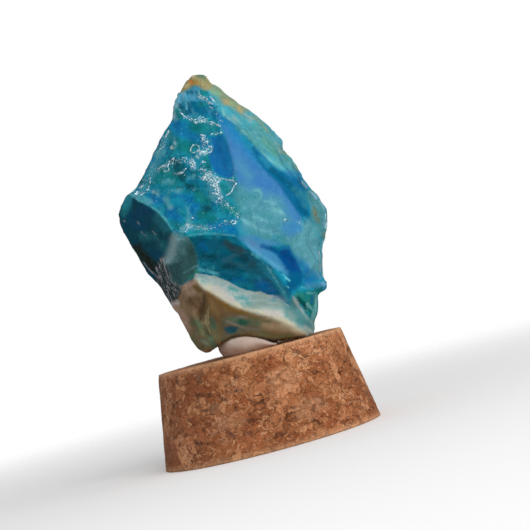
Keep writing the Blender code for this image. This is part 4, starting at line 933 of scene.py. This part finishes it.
def stone_crust_and_glints(n, at, colour, busy):
    """White flake edges, crumbs and fine specks on the broken front, partly pale mineral and partly painted
    glints, with a painted glow round them and painted shade beside them. Also gives where they are.
    """
    lip, near_crumbs_and_glints = n.attribute("lip"), n.attribute("crumbs")
    thin = n.math("ADD", lip, n.times(n.swing(0.35, 2.0), 0.3))
    thin = n.times(n.between(thin, 0.12, 0.04), n.between(n.clouds(0.3, 3.0, 0.6), 0.41, 0.53))
    specks = n.times(n.between(n.clouds(0.36, 2.0, 0.5), 0.72, 0.76), busy)
    crack = n.add("TexVoronoi", {"Vector": at, "Scale": 1 / 0.75}, feature="DISTANCE_TO_EDGE")
    net = n.times(n.between(crack, 0.1, 0.04), n.between(n.clouds(0.45, 3.0, 0.6), 0.44, 0.56))
    net = n.times(net, n.between(near_crumbs_and_glints, 0.4, -0.4, 0.0, 0.5))
    fewer = n.between(near_crumbs_and_glints, -0.6, 0.6, 0.5, 0.76)
    flecks = n.between(n.math("SUBTRACT", n.clouds(0.3, 3.0, 0.6, 0.6), fewer), 0.0, 0.06)
    fewer = n.between(n.attribute("dust_and_glints"), -0.6, 0.9, 0.57, 0.74)
    dust_and_glints = n.between(n.math("SUBTRACT", n.clouds(0.22, 2.0, 0.55), fewer), 0.0, 0.05)
    dust_and_glints = n.times(dust_and_glints, n.between(n.clouds(1.1, 2.0), 0.38, 0.5), 0.75)
    crust_and_glints = n.most(thin, specks, net, flecks, dust_and_glints)
    # A painted glow of light teal round the glints.
    glint_glow = n.times(n.between(lip, 0.55, 0.05, 0.0, 0.45), n.between(n.clouds(0.6, 3.0, 0.6), 0.4, 0.6))
    glint_glow = n.most(glint_glow, n.between(near_crumbs_and_glints, 0.5, -0.3, 0.0, 0.5))
    glint_glow = n.times(glint_glow, n.between(n.clouds(0.5, 3.0, 0.6), 0.36, 0.6))
    colour = n.mix(glint_glow, colour, (84, 186, 208))
    # Painted shade: dark teal specks beside the glints and among the crumbs.
    glint_shade = n.most(n.between(lip, 0.7, 0.1, 0.0, 0.8), n.between(near_crumbs_and_glints, 0.6, -0.3, 0.0, 0.8))
    glint_shade = n.times(glint_shade, n.between(n.clouds(0.42, 3.0, 0.6, 0.5, at), 0.53, 0.6))
    colour = n.mix(glint_shade, colour, (4, 70, 98))
    # The glints' painted white, bluish in places and creamy in others.
    cream = n.between(n.clouds(0.7, 2.0), 0.58, 0.68, 0.0, 0.4)
    bright = n.between(n.clouds(0.5, 2.0), 0.34, 0.5)
    white = n.mix(bright, (168, 216, 234), n.mix(cream, (226, 246, 255), (238, 230, 200)))
    return n.mix(crust_and_glints, colour, white), crust_and_glints


def stone_material():
    n = Nodes("blue opal")
    at = n.warped(6.0, 2.0)
    colour, middle = stone_body(n, at)
    colour, rind = stone_back(n, at, colour, middle)
    colour, masks = stone_patches(n, at, colour)

    def most_of(*names):
        return n.most(*[masks[name] for name in names])

    on_brow = n.times(n.attribute("brow"), n.rest(most_of("tip", "olive")))
    calm = most_of("chip", "pane", "tip", "olive")
    busy = n.times(n.attribute("bumpy"), n.rest(calm), n.between(on_brow, 0.0, 1.0, 1.0, 0.35))
    colour = stone_textures(n, at, colour, most_of, on_brow, busy)
    # Pale flake edges with painted white glints over the rest.
    colour, crust_and_glints = stone_crust_and_glints(n, at, colour, busy)
    grain = n.between(n.clouds(0.6, 4.0, 0.65), 0.3, 0.7, 0.97, 1.03)
    shade = n.add("CombineColor", {0: grain, 1: grain, 2: grain})
    n.set(Base_Color=n.mix(1.0, colour, shade, "MULTIPLY"))
    rough = n.between(n.most(most_of("face", "knee"), rind), 0.0, 1.0, 0.18, 0.42)
    rough = n.math("ADD", rough, n.between(n.clouds(1.5, 3.0), 0.35, 0.7, -0.04, 0.12))
    n.set(Roughness=rough, IOR=1.46, Specular_IOR_Level=0.3, Coat_Weight=0.12, Coat_Roughness=0.06)
    n.set(Subsurface_Weight=0.08, Subsurface_Radius=(0.5, 1.0, 1.2), Subsurface_Scale=0.0012)
    fine = n.times(n.clouds(0.22, 4.0, 0.6), n.between(calm, 0.0, 1.0, 0.1, 0.02))
    lumps = n.times(n.clouds(0.9, 3.0, 0.6, 0.6), n.between(busy, 0.0, 1.0, 0.2, 0.9))
    height = n.math("ADD", n.math("ADD", fine, lumps), n.times(crust_and_glints, 0.7))
    n.set(Normal=n.bump(height, 0.12))
    return n.material


def cork_outline():
    """The cork's section, from the middle of its base round to the middle of its top."""
    base = [(CORK_BASE_RADIUS * i / CORK_FLAT_ROWS, 0.0) for i in range(CORK_FLAT_ROWS)]
    slope = CORK_TOP_RADIUS - CORK_BASE_RADIUS
    steps = [i / CORK_SIDE_ROWS for i in range(CORK_SIDE_ROWS + 1)]
    side = [(CORK_BASE_RADIUS + slope * t, CORK_DRESSED_TOP * t) for t in steps]
    last = range(CORK_FLAT_ROWS - 1, -1, -1)
    return base + side + [(CORK_TOP_RADIUS * i / CORK_FLAT_ROWS, CORK_DRESSED_TOP) for i in last]


def turned(name, outline, around):
    """A closed turned object, from a section in millimetres that starts and ends on the axis."""
    bm = bmesh.new()
    rings = []
    turns = [2 * math.pi * k / around for k in range(around)]
    for radius, z in outline:
        places = [(radius * math.cos(a) * MM, radius * math.sin(a) * MM, z * MM) for a in turns]
        rings.append([bm.verts.new(place) for place in (places if radius else places[:1])])
    for low, high in zip(rings, rings[1:]):
        for k in range(around):
            after = k + 1
            corners = (low[k % len(low)], low[after % len(low)], high[after % len(high)], high[k % len(high)])
            bm.faces.new(list(dict.fromkeys(corners)))
    bmesh.ops.recalc_face_normals(bm, faces=bm.faces)
    return mesh_object(name, bm)


def make_cork():
    """The cork stand as a turned outline with chipped rims, pits and an uneven surface."""
    obj = turned("cork_body", cork_outline(), CORK_AROUND)
    points, normals = points_of(obj), normals_of(obj)
    radius, z = np.hypot(points[:, 0], points[:, 1]), points[:, 2]
    top_rim = np.hypot(radius - CORK_TOP_RADIUS, z - CORK_DRESSED_TOP)
    rim = np.minimum(top_rim, np.hypot(radius - CORK_BASE_RADIUS, z))
    lift = 0.1 * clouds(points, 3.2, 22) + 0.07 * clouds(points, 1.2, 23)
    lift -= bell(rim, 0.5) * (0.06 + 0.35 * np.maximum(clouds(points, 1.6, 21), 0))
    pits = rise(clouds(points, 1.5, 24) + 0.5 * clouds(points, 0.7, 25), 0.62, 0.95)
    lift = np.minimum(lift - 0.45 * pits, 0.02) * (0.15 + 0.85 * rise(z, 0.0, 0.4))
    set_points(obj, points + normals * lift[:, None])
    seen = as_seen(points)
    away = HIDDEN * (1 - rise(-normals[:, 1], 0.0, 0.2))
    for name, row in CORK_MARKS.items():
        store(obj, name, np.clip(shapes_distance(seen, row[-1]), -6, 6) + away)
    store(obj, "speckled", rise(seen[:, 0], 11.0, 15.0) * 0.8)
    # Where the pits are, which get painted shade.
    store(obj, "pit_shade", pits)
    # Where the top is flat, which gets a lighter colour as painted light.
    store(obj, "painted_light_top", rise(normals[:, 2], 0.3, 0.8))
    # Near the rims, which get a lighter colour, partly for wear and partly as painted light.
    store(obj, "worn_and_lit_rim", bell(rim, 0.8))
    obj.data.shade_smooth()
    return obj


def cork_granules(n, at):
    """Granules of two sizes, each with its own tone. Gives their colour, how far the nearest seam is,
    two random values of each granule, and where the small ones are."""
    use_small = n.between(n.clouds(4.0, 3.0), 0.49, 0.53)
    cells, seams = [], []
    for size in GRANULE_SIZES:
        cells.append(n.add("TexVoronoi", {"Vector": at, "Scale": 1 / size}, out="Color"))
        gap = n.add("TexVoronoi", {"Vector": at, "Scale": 1 / size}, feature="DISTANCE_TO_EDGE")
        seams.append(n.times(gap, size))
    tone, other, rare = n.add("SeparateColor", {0: n.mix(use_small, *cells)}).node.outputs
    seam = n.add("Mix", {0: use_small, 2: seams[0], 3: seams[1]})
    colour = n.mix(n.between(tone, 0.0, 0.6), (144, 80, 43), (164, 102, 62))
    colour = n.mix(n.between(tone, 0.66, 0.95), colour, (194, 134, 92))
    colour = n.mix(n.between(other, 0.85, 0.97, 0.0, 0.35), colour, (178, 102, 62))
    return colour, seam, other, rare, use_small


def cork_streaks(n, at, colour, seam, other):
    """Brown zones, rings with a direction of their own in each granule, layers, dark seams and wavy
    lines. Also gives the noise of the rings, and how far the seams' edges are."""
    brown = n.clouds(3.0, 4.0, 0.6, 0.8, n.mapped(at, (0, 0, 0), (0.7, 0.7, 1.2)))
    colour = n.toned(colour, brown, (0.52, 0.68, 0.5, (130, 74, 38)))
    turned_at = n.add("VectorRotate", {"Vector": at, "Axis": (0.3, 0.5, 0.8), "Angle": n.times(other, 6.3)})
    rings = n.clouds(0.6, 3.0, 0.55, 0.4, n.mapped(turned_at, (0, 0, 0), (0.25, 0.8, 1.4)))
    colour = n.toned(colour, rings, (0.54, 0.68, 0.4, (122, 70, 38)), (0.46, 0.32, 0.5, (206, 152, 112)))
    layers = n.math("SINE", n.math("ADD", n.times(seam, 13.0), n.times(n.clouds(1.2, 3.0), 12.0)))
    layered = n.times(n.between(layers, 0.35, 0.95), n.between(n.clouds(2.6, 2.0), 0.45, 0.6, 0.0, 0.5))
    colour = n.mix(layered, colour, (120, 72, 42))
    edge = n.math("DIVIDE", seam, n.between(n.clouds(1.1, 4.0, 0.65), 0.5, 0.7, 0.01, 0.45))
    colour = n.mix(n.between(edge, 1.2, 0.2, 0.0, 0.6), colour, (92, 50, 26))
    wavy = n.mapped(at, (0.2, 0.1, 0.3), (0.8, 0.8, 1.3))
    for size, rgb, low, high in ((2.6, (100, 56, 30), 0.45, 0.6), (2.1, (214, 164, 126), 0.52, 0.4)):
        line = n.math("ABSOLUTE", n.swing(size, 4.0, 0.55, 0.7, wavy))
        here = n.between(n.clouds(2.8 + size, 2.0), low, high)
        colour = n.mix(n.times(n.between(line, 0.03, 0.006, 0.0, 0.65), here), colour, rgb)
    return colour, rings, edge


def cork_marks(n, colour, rings):
    """The placed marks, and then the pits darkened with painted shade, the rims lightened by wear and by
    painted light, and the flat top lightened with painted light.
    """
    ragged = n.times(n.swing(1.0, 4.0, 0.65), 1.8)
    show_through = n.between(rings, 0.42, 0.66, 0.0, 0.7)
    for name, (softness, strength, rgb, _) in CORK_MARKS.items():
        mark = n.between(n.math("ADD", n.attribute(name), ragged), softness, -softness)
        colour = n.mix(n.times(mark, strength), colour, n.mix(show_through, rgb, colour))
    # Painted shade in the pits, wear and painted light on the rims, and painted light on the flat top.
    wear_and_painted_light = ("pit_shade", 0.7, (82, 46, 26)), ("worn_and_lit_rim", 0.6, (212, 160, 120)), ("painted_light_top", 0.3, (226, 176, 136))
    for name, strength, rgb in wear_and_painted_light:
        colour = n.mix(n.times(n.attribute(name), strength), colour, rgb)
    return colour


def cork_material():
    """Pressed cork granules with streaks, seams, clefts, crumbs and marks, with painted shade in the pits,
    wear and painted light on the rims, and painted light on the top.
    """
    n = Nodes("agglomerated cork")
    at = n.warped(2.4, 2.0, 0.5)
    colour, seam, other, rare, use_small = cork_granules(n, at)
    colour, rings, edge = cork_streaks(n, at, colour, seam, other)
    clefts = n.clouds(1.5, 4.0, 0.6, 0.8, n.mapped(at, (0, 0, 0), (0.5, 0.5, 1.5)))
    clefts = n.between(clefts, 0.61, 0.66, 0.0, 0.8)
    colour = n.mix(clefts, colour, (78, 42, 22))
    crumbs = n.between(n.clouds(0.45, 4.0, 0.65), 0.56, 0.66)
    crowd = n.math("ADD", n.between(n.clouds(2.4, 3.0), 0.42, 0.62), n.attribute("speckled"), clamp=True)
    colour = n.mix(n.times(crumbs, crowd, 0.5), colour, (104, 58, 32))
    colour = n.toned(colour, n.clouds(0.5, 3.0, 0.6, 0.3), (0.6, 0.7, 0.35, (218, 172, 134)))
    colour = n.toned(colour, rare, (0.965, 0.975, 0.6, (88, 58, 48)), mask=use_small)
    n.set(Base_Color=cork_marks(n, colour, rings), Roughness=0.8, IOR=1.4)
    height = n.math("ADD", n.times(n.between(edge, 0.0, 1.2), 0.6), n.times(rings, 0.8))
    height = n.math("SUBTRACT", height, n.times(n.most(crumbs, clefts), 0.5))
    height = n.math("ADD", height, n.times(n.clouds(0.3, 3.0), 0.4))
    n.set(Normal=n.bump(height, 0.16))
    return n.material


def make_putty():
    """The pat of putty, from the CAD pat: smoother, with a thin tail and shallow finger marks."""
    obj = fine_copy("putty", "putty_pat", PUTTY_MESH)
    points = relaxed(obj, points_of(obj), 10)
    front = rise(-points[:, 1], 1.0, 6.0)
    height = np.interp(points[:, 0], *zip(*PUTTY_HEIGHTS))
    points[:, 1] -= front * (1.8 + 0.09 * np.maximum(points[:, 0], 0) ** 2)
    points[:, 2] = CORK_TOP + (points[:, 2] - CORK_TOP) * (1 + front * (height - 1))
    set_points(obj, points)
    lift = 0.08 * clouds(points, 2.4, 31) + 0.03 * clouds(points, 0.9, 32)
    set_points(obj, points + normals_of(obj) * lift[:, None])
    obj.data.shade_smooth()
    return obj


def putty_material():
    n = Nodes("mineral tack")
    mottle = n.between(n.clouds(2.2, 3.0), 0.35, 0.65)
    colour = n.mix(mottle, (188, 168, 155), (196, 178, 165))
    colour = n.toned(colour, n.clouds(0.5, 3.0), (0.62, 0.72, 0.25, (196, 172, 156)))
    n.set(Base_Color=colour, Roughness=n.between(n.clouds(1.0), 0.3, 0.7, 0.42, 0.6))
    n.set(Subsurface_Weight=0.3, Subsurface_Radius=(1.0, 0.7, 0.6), Subsurface_Scale=0.0015)
    n.set(Normal=n.bump(n.clouds(0.5, 3.0), 0.03))
    return n.material


def make_floor():
    """A pale disc just under the stand that fades into the pale surroundings."""
    bm = bmesh.new()
    bmesh.ops.create_circle(bm, cap_ends=True, segments=96, radius=FLOOR_RADIUS)
    floor = mesh_object("floor", bm)
    floor.location.z = -FLOOR_DROP
    n = Nodes("pale floor")
    n.set(Base_Color=(0.93, 0.93, 0.93, 1.0), Roughness=0.9)
    from_middle = n.add("VectorMath", {0: n.mm}, out="Value", operation="LENGTH")
    n.set(Alpha=n.between(from_middle, *FLOOR_FADE))
    floor.data.materials.append(n.material)
    floor.visible_glossy = False


def make_world():
    """White to look at, a soft light from above, and dim in reflections."""
    world = bpy.data.worlds.new("studio")
    bpy.context.scene.world = world
    world.use_nodes = True
    world.cycles.sampling_method = "NONE"
    tree = world.node_tree
    white = tree.nodes["Background"]
    white.inputs[0].default_value = (1, 1, 1, 1)
    kinds = "Background", "TexCoord", "SeparateXYZ", "MapRange", "LightPath", "MapRange", "Math", "MixShader"
    lit, place, split, ramp, path, dim, strength, mix = [tree.nodes.new("ShaderNode" + k) for k in kinds]
    for name, value in (("From Min", -0.6), ("From Max", 1.0), ("To Min", 0.45), ("To Max", 0.7)):
        ramp.inputs[name].default_value = value
    dim.inputs["To Min"].default_value = 1.0
    dim.inputs["To Max"].default_value = 0.04
    strength.operation = "MULTIPLY"
    for out, socket in (
        (place.outputs["Generated"], split.inputs[0]),
        (split.outputs["Z"], ramp.inputs["Value"]),
        (path.outputs["Is Glossy Ray"], dim.inputs["Value"]),
        (ramp.outputs[0], strength.inputs[0]),
        (dim.outputs[0], strength.inputs[1]),
        (strength.outputs[0], lit.inputs["Strength"]),
        (path.outputs["Is Camera Ray"], mix.inputs[0]),
        (lit.outputs[0], mix.inputs[1]),
        (white.outputs[0], mix.inputs[2]),
        (mix.outputs[0], tree.nodes["World Output"].inputs[0]),
    ):
        tree.links.new(out, socket)


def add_light(name, towards, distance, size, watts, shiny):
    """A square light in a direction from the object, in metres. A shiny one shows only in reflections,
    and any other only as soft light."""
    lamp = bpy.data.lights.new(name, "AREA")
    lamp.size = size
    lamp.energy = watts
    obj = new_object(name, lamp)
    direction = Vector(towards).normalized()
    obj.location = Vector((0, 0, LIT_HEIGHT)) + direction * distance
    obj.rotation_euler = direction.to_track_quat("Z", "Y").to_euler()
    obj.visible_glossy = shiny
    obj.visible_diffuse = not shiny


def add_camera():
    eye, aim = Vector(EYE) * MM, Vector(AIM) * MM
    ahead = (aim - eye).normalized()
    right = ahead.cross(Vector((0, 0, 1))).normalized()
    up = right.cross(ahead)
    roll = math.radians(ROLL_DEG)
    across = right * math.cos(roll) - up * math.sin(roll)
    above = up * math.cos(roll) + right * math.sin(roll)
    lens = bpy.data.cameras.new("camera")
    lens.sensor_width = SENSOR_WIDTH
    lens.lens = SENSOR_WIDTH * -EYE[1] / VIEW_WIDTH
    lens.clip_start = 0.01
    lens.clip_end = 10.0
    camera = new_object("camera", lens)
    camera.matrix_world = Matrix.Translation(eye) @ Matrix((across, above, -ahead)).transposed().to_4x4()
    bpy.context.scene.camera = camera


clear_scene_extras()
bpy.context.scene.view_settings.view_transform = "Standard"
add_camera()
make_world()
make_floor()
add_light("key", (0.35, -0.75, 0.95), 0.5, 0.3, 1.2, False)
add_light("fill", (1.25, -0.95, 0.05), 0.6, 0.5, 1.15, False)
add_light("sparkle", (-0.25, 0.55, 1.0), 0.5, 0.06, 0.55, True)
add_light("side", (1.0, -0.3, 0.1), 0.5, 0.3, 0.5, False)

for piece, material, node, slot in (
    (make_stone(), stone_material(), "opal", "opal"),
    (make_putty(), putty_material(), "putty", "putty"),
    (make_cork(), cork_material(), "cork_stand", "cork"),
):
    piece.data.materials.append(material)
    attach(piece, "root")
    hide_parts(node)
